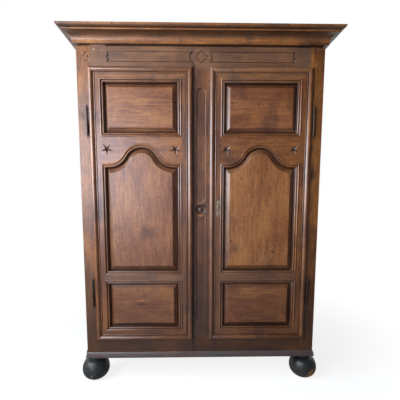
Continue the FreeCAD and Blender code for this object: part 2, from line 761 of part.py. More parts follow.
def shelves():
    shelf_end = POST_INSIDE - size.shelf_end_gap
    levels = (
        ("floor_boards", OPENING_BOTTOM, FRONT + size.rail_thickness),
        ("lower_shelf", OPENING_BOTTOM + size.lower_shelf_height, FRONT + size.shelf_front_setback),
        ("upper_shelf", OPENING_BOTTOM + size.upper_shelf_height, FRONT + size.shelf_front_setback),
    )
    bearers = []
    for name, top, front in levels:
        bottom = top - size.shelf_thickness
        back_edge = BACK_RAIL_FRONT if name == "floor_boards" else BACK_RAIL_BACK
        row_of_boards(name, size.shelf_board_count, (-shelf_end, front, bottom), (shelf_end, back_edge, top))
        bearer = box(
            f"{name}_left_bearer",
            (-POST_INSIDE, front, bottom - size.bearer_height),
            (-POST_INSIDE + size.bearer_width, BACK_RAIL_FRONT, bottom),
        )
        bearers += [bearer, mirrored(f"{name}_right_bearer", bearer)]
    node(group("shelf_bearers", bearers))
    row_of_boards("top_boards", size.top_board_count, (-HALF, FRONT, CASE_TOP), (HALF, BACK, TOP))


# Crown and base mouldings
def moulding_run(name, items, reach, bottom, height):
    """A moulding along the front and both sides, mitred at the front corners."""
    left_end = -HALF - reach
    front_end = FRONT - reach
    front_section = wire(f"{name}_front_section", items, lambda out, z: point(left_end, FRONT - out, z))
    side_section = wire(f"{name}_side_section", items, lambda out, z: point(-HALF - out, front_end, z))
    front_bar = extrude(f"{name}_front_bar", front_section, RIGHTWARDS, size.carcass_width + reach * 2)
    side_bar = extrude(f"{name}_side_bar", side_section, BACKWARDS, size.carcass_depth + reach)

    def region(part, corners):
        plan = wire(f"{name}_{part}_plan", corners, lambda x, y: point(x, y, bottom))
        return extrude(f"{name}_{part}_region", plan, UPWARDS, height)

    front_plan = [(-HALF, FRONT), (HALF, FRONT), (HALF + reach, front_end), (left_end, front_end)]
    side_plan = [(-HALF, FRONT), (left_end, front_end), (left_end, BACK), (-HALF, BACK)]
    node(common(f"{name}_front", front_bar, region("front", front_plan)))
    left = node(common(f"{name}_left", side_bar, region("left", side_plan)))
    node(mirrored(f"{name}_right", left))


def cornice():
    bottom = TOP - size.cornice_height
    foot_top = bottom + size.cornice_foot_height
    cove_end = size.cornice_foot_reach + size.cove_reach
    cove_top = foot_top + size.cove_height
    curve = math.sqrt(0.5)
    cove_middle = (cove_end - size.cove_reach * curve, foot_top + size.cove_height * curve)
    bead_start = cove_end + size.cornice_step
    bead_top = cove_top + size.cornice_bead_height
    crown_start = bead_start + size.cornice_step
    lip_bottom = TOP - size.cornice_lip_height
    crown_drop = lip_bottom - bead_top
    crown_swell = size.cornice_reach - crown_start
    crown_middle = (crown_start + crown_swell * curve, lip_bottom - crown_drop * curve)
    items = [
        (FLOOR, bottom),
        (size.cornice_foot_reach, bottom),
        (size.cornice_foot_reach, foot_top),
        Arc(cove_middle, (cove_end, cove_top)),
        (bead_start, cove_top),
        Arc((bead_start + size.cornice_bead_swell, (cove_top + bead_top) / 2), (bead_start, bead_top)),
        (crown_start, bead_top),
        Arc(crown_middle, (size.cornice_reach, lip_bottom)),
        (size.cornice_reach, TOP),
        (FLOOR, TOP),
    ]
    moulding_run("cornice", items, size.cornice_reach, bottom, size.cornice_height)


def base_moulding():
    edge_top = CASE_BOTTOM + size.base_edge
    top = CASE_BOTTOM + size.base_height
    swell = (size.base_reach * 2 + size.base_top_reach) / 3
    items = [
        (FLOOR, CASE_BOTTOM),
        (size.base_reach, CASE_BOTTOM),
        (size.base_reach, edge_top),
        Arc((swell, (edge_top + top) / 2), (size.base_top_reach, top)),
        (FLOOR, top),
    ]
    moulding_run("base_moulding", items, size.base_reach, CASE_BOTTOM, size.base_height)


def feet():
    """Ball feet, turned in one piece with the round tenon that holds them in the side rails."""
    foot_x, foot_y = foot_axis()
    widest = size.foot_widest_height
    collar_bottom = size.foot_neck_height + size.foot_neck_length
    collar_swell = (collar_bottom + size.foot_height) / 2
    tenon_top = size.foot_height + size.foot_tenon_length
    collar_root = (size.foot_neck_radius + size.foot_collar_radius) / 2
    items = [
        (FLOOR, FLOOR),
        (size.foot_pad_radius, FLOOR),
        Quarter((size.foot_pad_radius, widest), (size.foot_radius, widest)),
        Quarter((size.foot_neck_radius, widest), (size.foot_neck_radius, size.foot_neck_height)),
        (size.foot_neck_radius, collar_bottom),
        (collar_root, collar_bottom),
        Arc((size.foot_collar_radius, collar_swell), (collar_root, size.foot_height)),
        (size.foot_tenon_radius, size.foot_height),
        (size.foot_tenon_radius, tenon_top),
        (FLOOR, tenon_top),
    ]
    section = wire("foot_section", items, lambda out, z: point(foot_x + out, foot_y, z))
    left = doc.addObject("Part::Revolution", "left_foot")
    left.Source = section
    left.Axis = UPWARDS
    left.Angle = 360
    left.Solid = True
    for axis, length in zip("xy", (foot_x, foot_y)):
        bind(left, f"Base.{axis}", length)
    node(left)
    node(mirrored("right_foot", left))


# Left door frame, whose members are parted along the mitres of one moulded frame
def in_door(x, z, proud):
    return point(-DOOR_MID + x, FRONT - proud, z)


def door_outline(offset):
    return rectangle(-DOOR_HALF + offset, DOOR_HALF - offset, DOOR_BOTTOM + offset, DOOR_TOP - offset)


def lower_outline(offset):
    return rectangle(-PANEL_HALF + offset, PANEL_HALF - offset, LOWER_PANEL_BOTTOM + offset, LOWER_PANEL_TOP - offset)


def upper_outline(offset):
    return rectangle(-PANEL_HALF + offset, PANEL_HALF - offset, UPPER_PANEL_BOTTOM + offset, UPPER_PANEL_TOP - offset)


def arched_outline(offset):
    """Square below, with a head of two hollows that turn over into a round crown."""
    run = float(size.arch_run)
    rise = float(size.arch_rise)
    both_radii = (run * run + rise * rise) / (2 * rise)
    crown_radius = both_radii * float(size.arch_turn) / run
    crown_z = float(CROWN) - crown_radius
    hollow_radius = both_radii - crown_radius
    hollow_z = float(SHOULDER) + hollow_radius
    turn = math.atan2(hollow_z - crown_z, run)
    round_radius = crown_radius - float(offset)
    cove_radius = hollow_radius + float(offset)
    meet_x = round_radius * math.cos(turn)
    meet_z = crown_z + round_radius * math.sin(turn)
    halfway = (turn + math.pi / 2) / 2
    cove_x = run - cove_radius * math.cos(halfway)
    cove_z = hollow_z - cove_radius * math.sin(halfway)
    side = PANEL_HALF - offset
    bottom = ARCHED_BOTTOM + offset
    shoulder = SHOULDER - offset
    return [
        (side, bottom),
        (side, shoulder),
        (run, shoulder),
        Arc((cove_x, cove_z), (meet_x, meet_z)),
        Arc((0, crown_z + round_radius), (-meet_x, meet_z)),
        Arc((-cove_x, cove_z), (-run, shoulder)),
        (-side, shoulder),
        (-side, bottom),
    ]


PANEL_OUTLINES = (
    ("lower", lower_outline, size.panel_bevel),
    ("arched", arched_outline, size.arched_bevel),
    ("upper", upper_outline, size.panel_bevel),
)


def lip_section():
    """The door's moulded edge, from the lip inwards, with the rebate behind the lip."""
    bead_start = size.lip_round_width + size.quirk_width
    bead_end = bead_start + size.bead_width
    rebate = size.lip_overlap + size.door_gap
    items = [
        (FLOOR, size.lip_gap),
        (FLOOR, size.lip_edge),
        Arc((size.lip_round_width / 2, size.lip_round_proud), (size.lip_round_width, size.quirk_proud)),
        (bead_start, size.quirk_proud),
        Arc(((bead_start + bead_end) / 2, size.bead_proud), (bead_end, size.quirk_proud)),
        (LIP_WIDTH, size.quirk_proud),
        (LIP_WIDTH, -size.door_back),
        (rebate, -size.door_back),
        (rebate, size.lip_gap),
    ]
    return wire("door_lip_section", items, lambda inwards, proud: in_door(-DOOR_HALF, DOOR_BOTTOM + inwards, proud))


def panel_moulding_section(name, bottom):
    """The moulding round a panel, from the flat inwards, with the groove for the panel's tongue."""
    second_start = size.panel_bead_width + size.quirk_width
    second_end = second_start + size.inner_bead_width
    groove_bottom = MOULDING_WIDTH - size.groove_depth
    groove_front = -size.groove_back
    groove_rear = -size.groove_back - size.groove_width
    items = [
        (FLOOR, -size.door_back),
        (FLOOR, size.flat_proud),
        Arc((size.panel_bead_width / 2, size.panel_bead_proud), (size.panel_bead_width, size.quirk_proud)),
        (second_start, size.quirk_proud),
        Arc(((second_start + second_end) / 2, size.inner_bead_proud), (second_end, size.quirk_proud)),
        (MOULDING_WIDTH, size.sight_proud),
        (MOULDING_WIDTH, groove_front),
        (groove_bottom, groove_front),
        (groove_bottom, groove_rear),
        (MOULDING_WIDTH, groove_rear),
        (MOULDING_WIDTH, -size.door_back),
    ]
    return wire(name, items, lambda inwards, proud: in_door(-PANEL_HALF, bottom + inwards, proud))


def moulded_frame():
    """The whole left door frame before it is parted into its members."""
    lip_path = wire("door_lip_path", door_outline(NO_SPARE), lambda x, z: in_door(x, z, NO_SPARE))
    members = [sweep("door_lip", lip_section(), lip_path)]
    thickness = size.door_back + size.flat_proud

    def slab(name, items):
        outline = wire(f"{name}_outline", items, lambda x, z: in_door(x, z, -size.door_back))
        return extrude(name, outline, FORWARDS, thickness)

    holes = [slab(f"{name}_hole", outline(NO_SPARE)) for name, outline, _ in PANEL_OUTLINES]
    members.append(cut("door_flat", slab("door_slab", door_outline(LIP_WIDTH)), holes))
    bottoms = (LOWER_PANEL_BOTTOM, ARCHED_BOTTOM, UPPER_PANEL_BOTTOM)
    for (name, outline, _), bottom in zip(PANEL_OUTLINES, bottoms):
        path = wire(f"{name}_moulding_path", outline(NO_SPARE), lambda x, z: in_door(x, z, NO_SPARE))
        section = panel_moulding_section(f"{name}_moulding_section", bottom)
        members.append(sweep(f"{name}_moulding", section, path))
    return fuse("door_frame", members)


def door_region(name, items):
    """A prism through the door, which parts one member from the frame."""
    depth = size.door_back + size.lip_round_proud * 2
    outline = wire(f"{name}_outline", items, lambda x, z: in_door(x, z, -size.door_back))
    return extrude(name, outline, FORWARDS, depth)


def stile_region():
    """The left stile: mitred at its ends and where each panel moulding turns a corner."""
    past_sight = MOULDING_WIDTH + size.sight_width
    outer = -DOOR_HALF
    flat = outer + FLAT_END
    inner = flat + past_sight
    corner = FLAT_END + past_sight
    return [
        (outer, DOOR_BOTTOM),
        (inner, DOOR_BOTTOM + corner),
        (inner, LOWER_PANEL_TOP - past_sight),
        (flat, LOWER_PANEL_TOP),
        (flat, ARCHED_BOTTOM),
        (inner, ARCHED_BOTTOM + past_sight),
        (inner, SHOULDER - past_sight),
        (flat, SHOULDER),
        (flat, UPPER_PANEL_BOTTOM),
        (inner, UPPER_PANEL_BOTTOM + past_sight),
        (inner, DOOR_TOP - corner),
        (outer, DOOR_TOP),
    ]


def end_rail_region(edge, inwards):
    """The top or bottom rail, mitred from the lip's corners inwards."""
    corner = FLAT_END + MOULDING_WIDTH + size.sight_width
    inner = edge + corner * inwards
    return [(-DOOR_HALF, edge), (-DOOR_HALF + corner, inner), (DOOR_HALF - corner, inner), (DOOR_HALF, edge)]


def middle_rail_region(bottom, top):
    """A middle rail, whose flat meets the stiles' flats and whose mouldings are mitred."""
    past_sight = MOULDING_WIDTH + size.sight_width
    inner = PANEL_HALF - past_sight
    return [
        (-PANEL_HALF, bottom),
        (-inner, bottom - past_sight),
        (inner, bottom - past_sight),
        (PANEL_HALF, bottom),
        (PANEL_HALF, top),
        (inner, top + past_sight),
        (-inner, top + past_sight),
        (-PANEL_HALF, top),
    ]


def door_tenon(name, start, end, bottom, top):
    """A tenon at the left end of a rail, from x start to x end, measured from the door's middle."""
    back_cheek = FRONT + size.door_tenon_back
    low = (-DOOR_MID + start, back_cheek - size.door_tenon_thickness, bottom)
    high = (-DOOR_MID + end, back_cheek, top)
    return box(name, low, high)


def door_mirrored(name, source):
    """The same piece at the other end of the left door."""
    piece = doc.addObject("Part::Mirroring", name)
    piece.Source = source
    piece.Normal = RIGHTWARDS
    bind(piece, "Base.x", -DOOR_MID)
    return piece


def door_tenons():
    """The left tenon of each rail, by the rail's name."""
    corner_start = -DOOR_HALF + size.door_tenon_inset
    corner_end = corner_start + size.door_tenon_width + size.door_tenon_root
    top_edge = DOOR_TOP - size.door_tenon_inset
    bottom_edge = DOOR_BOTTOM + size.door_tenon_inset
    rail_start = -PANEL_HALF - size.rail_tenon_length
    rail_end = -PANEL_HALF + size.door_tenon_root
    shoulder = size.rail_tenon_shoulder
    return {
        "top_rail": door_tenon("top_rail_tenon", corner_start, corner_end,
                               top_edge - size.door_tenon_width, top_edge),
        "arched_rail": door_tenon("arched_rail_tenon", rail_start, rail_end,
                                  SHOULDER + shoulder, UPPER_PANEL_BOTTOM - shoulder),
        "lower_rail": door_tenon("lower_rail_tenon", rail_start, rail_end,
                                 LOWER_PANEL_TOP + shoulder, ARCHED_BOTTOM - shoulder),
        "bottom_rail": door_tenon("bottom_rail_tenon", corner_start, corner_end,
                                  bottom_edge, bottom_edge + size.door_tenon_width),
    }


def keyhole():
    """A round hole for the shank with a slot below it for the bit."""
    radius = size.key_radius + size.key_clearance
    start = (KEY_X, FRONT - size.lip_round_proud, KEY_Z)
    depth = size.lip_round_proud + size.door_back
    slot_half = size.key_bit_thickness / 2 + size.key_clearance
    slot_bottom = KEY_Z - size.key_bit_length - size.key_clearance
    slot = box("keyhole_slot", (KEY_X - slot_half, start[1], slot_bottom), (KEY_X + slot_half, DOOR_BACK, KEY_Z))
    return fuse("keyhole", [cylinder("keyhole_round", radius, start, depth, BACKWARDS), slot])


def doors():
    frame = moulded_frame()
    tenons = door_tenons()
    left_tenons = list(tenons.values())
    leaf_slots = [door_leaf(f"door_leaf_slot_{place}", bottom) for place, bottom in zip(("low", "high"), FICHE_BOTTOMS)]
    stile = common("stile_with_mouldings", frame, door_region("stile_region", stile_region()))
    morticed = cut("stile_with_mortises", stile, left_tenons)
    hinge_stile = node(cut("left_door_hinge_stile", morticed, leaf_slots))
    meeting_stile = node(door_mirrored("left_door_meeting_stile", morticed))
    regions = {
        "top_rail": end_rail_region(DOOR_TOP, -1),
        "arched_rail": middle_rail_region(SHOULDER, UPPER_PANEL_BOTTOM),
        "lower_rail": middle_rail_region(LOWER_PANEL_TOP, ARCHED_BOTTOM),
        "bottom_rail": end_rail_region(DOOR_BOTTOM, 1),
    }
    pieces = {"hinge_stile": hinge_stile}
    for rail, items in regions.items():
        bar = common(f"{rail}_with_mouldings", frame, door_region(f"{rail}_region", items))
        right_tenon = door_mirrored(f"{rail}_right_tenon", tenons[rail])
        pieces[rail] = node(fuse(f"left_door_{rail}", [bar, tenons[rail], right_tenon]))
    plate_back = -size.groove_back - size.groove_width + size.tongue_gap
    plate_front = -size.groove_back - size.tongue_gap
    for panel, outline, bevel in PANEL_OUTLINES:
        pieces[f"{panel}_panel"] = raised_panel(
            f"left_door_{panel}_panel", outline, in_door, FORWARDS, MOULDING_WIDTH, bevel,
            (plate_back, plate_front), size.field_proud - size.field_step, size.field_proud,
        )
    for name, piece in pieces.items():
        node(mirrored(f"right_door_{name}", piece))
    node(cut("right_door_meeting_stile", mirrored("right_meeting_stile_blank", meeting_stile), [keyhole()]))


# Lock of the right door
def lock_bolt_bar(name, clearance, throw):
    """The bolt, or the space that it slides in."""
    case_edge = KEY_X - size.lock_width_inner
    low = (
        case_edge - throw,
        DOOR_BACK + size.lock_bolt_setback - clearance,
        KEY_Z + size.lock_bolt_rise - clearance,
    )
    high = (
        case_edge + size.lock_bolt_length,
        DOOR_BACK + size.lock_bolt_setback + size.lock_bolt_thickness + clearance,
        KEY_Z + size.lock_bolt_rise + size.lock_bolt_height + clearance,
    )
    return box(name, low, high)


def lock():
    low = (KEY_X - size.lock_width_inner, DOOR_BACK, KEY_Z - size.lock_half_height)
    high = (KEY_X + size.lock_width_outer, DOOR_BACK + size.lock_depth, KEY_Z + size.lock_half_height)
    wall = size.lock_wall
    shell = box("lock_shell", low, high)
    hollow = box("lock_hollow", (low[0] + wall, low[1], low[2] + wall), (high[0] - wall, high[1] - wall, high[2] - wall))
    bolt_way = lock_bolt_bar("lock_bolt_way", size.slide_clearance, NO_SPARE)
    key_end = cylinder("lock_key_end", size.key_radius + size.key_clearance, (KEY_X, low[1], KEY_Z),
                       size.lock_depth, BACKWARDS)
    node(cut("lock_case", shell, [hollow, bolt_way, key_end]))
    bolt = node(lock_bolt_bar("lock_bolt", NO_SPARE, NO_SPARE))
    bolt.Label = "lock_bolt"


def escutcheon():
    """A narrow plate with a lobed outline and pointed ends, pierced for the key."""
    face = FRONT - size.flat_proud
    wide = size.escutcheon_half_width
    waist = size.escutcheon_waist
    top = KEY_Z + size.escutcheon_above
    bottom = KEY_Z - size.escutcheon_below
    upper_waist = KEY_Z + size.escutcheon_above / 3
    lower_waist = KEY_Z - size.escutcheon_below / 3
    upper_lobe = (top + upper_waist) / 2
    lower_lobe = (bottom + lower_waist) / 2
    middle = (upper_waist + lower_waist) / 2
    items = [
        Arc((wide, lower_lobe), (waist, lower_waist)),
        Arc((wide, middle), (waist, upper_waist)),
        Arc((wide, upper_lobe), (FLOOR, top)),
        Arc((-wide, upper_lobe), (-waist, upper_waist)),
        Arc((-wide, middle), (-waist, lower_waist)),
        Arc((-wide, lower_lobe), (FLOOR, bottom)),
    ]
    outline = wire("escutcheon_outline", items, lambda x, z: point(KEY_X + x, face, z))
    plate = extrude("escutcheon_plate", outline, FORWARDS, size.escutcheon_thickness)
    node(cut("escutcheon", plate, [doc.getObject("keyhole")]))


def key():
    face = FRONT - size.flat_proud
    bow_y = face - size.key_reach
    end_y = DOOR_BACK + size.lock_depth
    shank_start = bow_y + size.key_bow_radius
    shank = cylinder("key_shank", size.key_radius, (KEY_X, shank_start, KEY_Z), end_y - shank_start, BACKWARDS)
    bow = torus("key_bow", size.key_bow_radius, size.key_bow_wire, (KEY_X, bow_y, KEY_Z), RIGHTWARDS)
    half_bit = size.key_bit_thickness / 2
    bit_front = DOOR_BACK + size.key_bit_setback
    bit = box("key_bit", (KEY_X - half_bit, bit_front, KEY_Z - size.key_bit_length),
              (KEY_X + half_bit, bit_front + size.key_bit_width, KEY_Z))
    node(fuse("key", [shank, bow, bit]))


# Inner bolt of the left door
def door_bolt_bar(name, clearance, throw):
    """The bolt, or the space that it slides in."""
    end = -STILE_HALF - size.door_gap - size.door_bolt_inset
    half = size.door_bolt_width / 2 + clearance
    front = DOOR_BACK + size.door_bolt_setback
    low = (end - size.door_bolt_length, front - clearance, BOLT_Z - half)
    high = (end + throw, front + size.door_bolt_thickness + clearance, BOLT_Z + half)
    return box(name, low, high)


def door_bolt():
    end = -STILE_HALF - size.door_gap - size.door_bolt_inset
    far_end = end - size.door_bolt_length
    bar = door_bolt_bar("door_bolt_bar", NO_SPARE, NO_SPARE)
    knob_x = far_end + size.staple_width + size.door_bolt_knob_radius * 2
    knob_y = DOOR_BACK + size.door_bolt_setback + size.door_bolt_thickness
    knob = cylinder("door_bolt_knob", size.door_bolt_knob_radius, (knob_x, knob_y, BOLT_Z),
                    size.door_bolt_knob_length, BACKWARDS)
    node(fuse("door_bolt", [bar, knob]))
    way = door_bolt_bar("door_bolt_way", size.slide_clearance, NO_SPARE)
    half = size.door_bolt_width / 2 + size.staple_wall
    staples = []
    for place, start in (("far", far_end), ("near", end - size.staple_width)):
        low = (start, DOOR_BACK, BOLT_Z - half)
        high = (start + size.staple_width, knob_y + size.staple_wall, BOLT_Z + half)
        staples.append(cut(f"{place}_staple", box(f"{place}_staple_block", low, high), [way]))
    node(group("bolt_staples", staples))


def write_parts():
    doc.recompute()
    for piece in doc.Objects:
        if "Invalid" in piece.State or "Error" in piece.State:
            raise RuntimeError(f"{piece.Label} did not compute: {piece.State}")
    for piece in nodes:
        if piece.Shape.isNull() or not piece.Shape.isValid() or not piece.Shape.Solids:
            raise RuntimeError(f"{piece.Label} has no valid solid")
    os.makedirs("parts", exist_ok=True)
    for piece in nodes:
        piece.Shape.exportStep(f"parts/{piece.Label}.step")
    print(f"{len(nodes)} sub-parts written")


front_posts()
rear_posts()
side_frame()
side_panels()
back()
front_rails()
centre_stile()
shelves()
cornice()
base_moulding()
feet()
fiches()
doors()
lock()
escutcheon()
key()
door_bolt()
write_parts()
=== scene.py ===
"""Two-door panelled cupboard: finished woodwork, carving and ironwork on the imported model's bodies."""

import json
import math
import random

import bmesh
import bpy
from bpy.props import FloatProperty, FloatVectorProperty, IntProperty, PointerProperty
from mathutils import Matrix, Vector


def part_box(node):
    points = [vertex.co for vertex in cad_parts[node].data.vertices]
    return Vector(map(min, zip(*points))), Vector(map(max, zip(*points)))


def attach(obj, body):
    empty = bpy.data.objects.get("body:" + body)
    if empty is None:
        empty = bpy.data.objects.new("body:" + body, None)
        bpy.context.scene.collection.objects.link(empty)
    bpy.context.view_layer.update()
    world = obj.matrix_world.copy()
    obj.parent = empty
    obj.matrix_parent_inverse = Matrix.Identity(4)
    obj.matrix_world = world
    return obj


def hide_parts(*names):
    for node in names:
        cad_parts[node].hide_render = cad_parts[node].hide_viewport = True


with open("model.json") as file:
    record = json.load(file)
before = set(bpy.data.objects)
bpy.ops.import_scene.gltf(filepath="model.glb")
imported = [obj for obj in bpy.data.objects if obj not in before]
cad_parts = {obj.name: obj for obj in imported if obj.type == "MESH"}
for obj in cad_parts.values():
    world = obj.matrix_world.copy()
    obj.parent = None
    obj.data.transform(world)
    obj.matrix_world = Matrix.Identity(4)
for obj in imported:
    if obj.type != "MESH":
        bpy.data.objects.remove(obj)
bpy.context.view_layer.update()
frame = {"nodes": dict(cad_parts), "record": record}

bl_info = {
    "name": "Panelled Cupboard",
    "version": (1, 0, 0),
    "blender": (4, 5, 0),
    "location": "View3D > Sidebar > Cupboard",
    "description": "Dresses a two-door panelled cupboard with carved, waxed wood and old ironwork",
    "category": "Object",
}

MM = 0.001
BODY_OF = {node: body for body, names in frame["record"]["behaviour"]["bodies"].items() for node in names}
SLOT_OF = {part["node"]: part["material_slot"] for part in frame["record"]["subparts"]}

# Planes that the carving and the finishes refer to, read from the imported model
FACE_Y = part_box("frieze_rail")[0].y
FLAT_Y = FACE_Y - 12 * MM
CORNICE_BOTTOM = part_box("cornice_front")[0].z
FRIEZE_BOTTOM = CORNICE_BOTTOM - 125 * MM
FRIEZE_MIDDLE = FRIEZE_BOTTOM + 66.5 * MM
UPPER_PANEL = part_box("right_door_upper_panel")
DOOR_MIDDLE = (UPPER_PANEL[0].x + UPPER_PANEL[1].x) / 2
GAP = 7 * MM
ROSETTE_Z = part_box("front_bottom_rail")[1].z + 747 * MM
STAR_Z = UPPER_PANEL[0].z - 84 * MM


def colour(name, text, default):
    """A colour that a user may change; the numbers are linear."""
    return FloatVectorProperty(name=name, description=text, default=default, subtype="COLOR", size=3, min=0,
                               max=1)


def streaks_of(timber, tone, default):
    text = f"{tone.capitalize()} streaks of the {timber.lower()}"
    return colour(f"{timber}, {tone} grain", text, default)


def length(name, text, default):
    return FloatProperty(name=name, description=text, default=default, subtype="DISTANCE", unit="LENGTH",
                         min=0)


def power(name, text, default):
    return FloatProperty(name=name, description=text, default=default, subtype="POWER", unit="POWER", min=0)


def tilt(name, text, degrees):
    return FloatProperty(name=name, description=text, default=math.radians(degrees), subtype="ANGLE",
                         unit="ROTATION")


class CupboardWood(bpy.types.PropertyGroup):
    """Colours and wear of the timber."""

    case_deep: streaks_of("Case", "dark", (0.075, 0.0191, 0.00493))
    case_middle: colour("Case", "Posts and rails", (0.194, 0.0613, 0.0128))
    case_pale: streaks_of("Case", "pale", (0.375, 0.139, 0.0255))
    door_deep: streaks_of("Doors", "dark", (0.0713, 0.019, 0.00626))
    door_middle: colour("Doors", "Door frames", (0.181, 0.0575, 0.0157))
    door_pale: streaks_of("Doors", "pale", (0.338, 0.124, 0.0306))
    panel_deep: streaks_of("Panels", "dark", (0.118, 0.0315, 0.0106))
    panel_middle: colour("Panels", "Panels", (0.231, 0.0786, 0.025))
    panel_pale: streaks_of("Panels", "pale", (0.417, 0.166, 0.0484))
    moulding_deep: streaks_of("Mouldings", "dark", (0.0644, 0.0194, 0.00578))
    moulding_middle: colour("Mouldings", "Cornice and base", (0.238, 0.0801, 0.0187))
    moulding_pale: streaks_of("Mouldings", "pale", (0.425, 0.16, 0.0356))
    inner_deep: streaks_of("Inside", "dark", (0.17, 0.098, 0.05))
    inner_middle: colour("Inside", "Unpolished boards", (0.32, 0.2, 0.11))
    inner_pale: streaks_of("Inside", "pale", (0.46, 0.32, 0.19))
    foot_black: colour("Feet", "Black polish of the ball feet", (0.0165, 0.018, 0.0185))
    worn: colour("Worn wood", "Bare wood on rubbed edges", (0.42, 0.25, 0.13))
    arris: length("Rubbed edge", "Width of the softened edges", 0.5 * MM)


class CupboardCarving(bpy.types.PropertyGroup):
    """Sizes of the carving."""

    star_radius: length("Star", "Middle of a star to its points", 39 * MM)
    star_depth: length("Star depth", "Depth of a star's middle", 8 * MM)
    star_offset: length("Star offset", "Door's middle to a star", 186 * MM)
    groove_radius: length("Groove", "Radius of the gouge for the straight lines on the frieze", 2.3 * MM)
    gouge_radius: length("Gouge", "Radius of the gouge for the band's ends and the quatrefoil", 4.2 * MM)
    band_half: length("Band", "Half height of the framed band on the frieze", 25.5 * MM)
    band_end: length("Band end", "Middle of the frieze to the band's outer end", 503 * MM)
    band_start: length("Band start", "Middle of the frieze to the band's hollow inner end", 60 * MM)
    dish_radius: length("Rosette", "Radius of the dish in the rosette", 30 * MM)
    dish_depth: length("Rosette depth", "Depth of the dish round its button", 8 * MM)
    quatrefoil: length("Quatrefoil", "Middle of the quatrefoil to the edge of a lobe", 28.5 * MM)


class CupboardIron(bpy.types.PropertyGroup):
    """Ironwork and pegs."""

    iron: colour("Iron", "Dark skin of the hinges and the lock", (0.05, 0.043, 0.038))
    rust: colour("Rust", "Rust in the hollows of the iron", (0.11, 0.045, 0.02))
    rubbed: colour("Rubbed iron", "Bright metal of the key and its plate", (0.56, 0.44, 0.31))
    peg_radius: length("Peg", "Radius of the pegs' heads", 4.5 * MM)
    nail_radius: length("Nail", "Radius of the nail heads in the back", 4 * MM)
    seed: IntProperty(name="Seed", description="Variation of pegs and nails", default=7, min=0)


class CupboardStage(bpy.types.PropertyGroup):
    """Floor, light and camera."""

    floor: colour("Floor", "Pale floor", (0.3, 0.3, 0.3))
    eye: FloatVectorProperty(name="Camera", description="Place of the camera", size=3,
                             subtype="TRANSLATION", unit="LENGTH", default=(-0.0662, -1.8173, 1.1374))
    pitch: tilt("Pitch", "How far the camera looks down", 5.732)
    turn: tilt("Turn", "How far the camera is turned to its right", 0.975)
    lens: FloatProperty(name="Lens", description="Focal length on a 36 mm wide sensor", default=25.2, min=1)
    window: power("Window light", "Power of the wide light at the left", 158)
    pane: power("Pane", "Power of the tall pale light that mirrors in the left door", 5.5)
    fill: power("Fill light", "Power of the soft light at the right", 1)
    overhead: power("Overhead light", "Power of the soft light above", 4)
    room: FloatProperty(name="Room", description="How bright the room before the cupboard mirrors in it",
                        default=0.015, min=0, max=1)
    sky: FloatProperty(name="Surroundings", description="Strength of the even light from all sides",
                       default=0.02, min=0)


class CupboardSettings(bpy.types.PropertyGroup):
    wood: PointerProperty(type=CupboardWood)
    carving: PointerProperty(type=CupboardCarving)
    iron: PointerProperty(type=CupboardIron)
    stage: PointerProperty(type=CupboardStage)


def settings(context):
    return context.scene.cupboard


class Value:
    """A number or colour that changes over a surface. Operators on numbers add Math nodes."""

    def __init__(self, tree, socket):
        self.tree = tree
        self.socket = socket

    def maths(self, operation, *operands):
        node = self.tree.nodes.new("ShaderNodeMath")
        node.operation = operation
        for socket, operand in zip(node.inputs, operands):
            if isinstance(operand, Value):
                self.tree.links.new(operand.socket, socket)
            else:
                socket.default_value = operand
        return Value(self.tree, node.outputs[0])

    def __add__(self, other):
        return self.maths("ADD", self, other)

    def __sub__(self, other):
        return self.maths("SUBTRACT", self, other)

    def __rsub__(self, other):
        return self.maths("SUBTRACT", other, self)

    def __mul__(self, other):
        return self.maths("MULTIPLY", self, other)

    __radd__ = __add__
    __rmul__ = __mul__

    def larger(self, other):
        return self.maths("MAXIMUM", self, other)


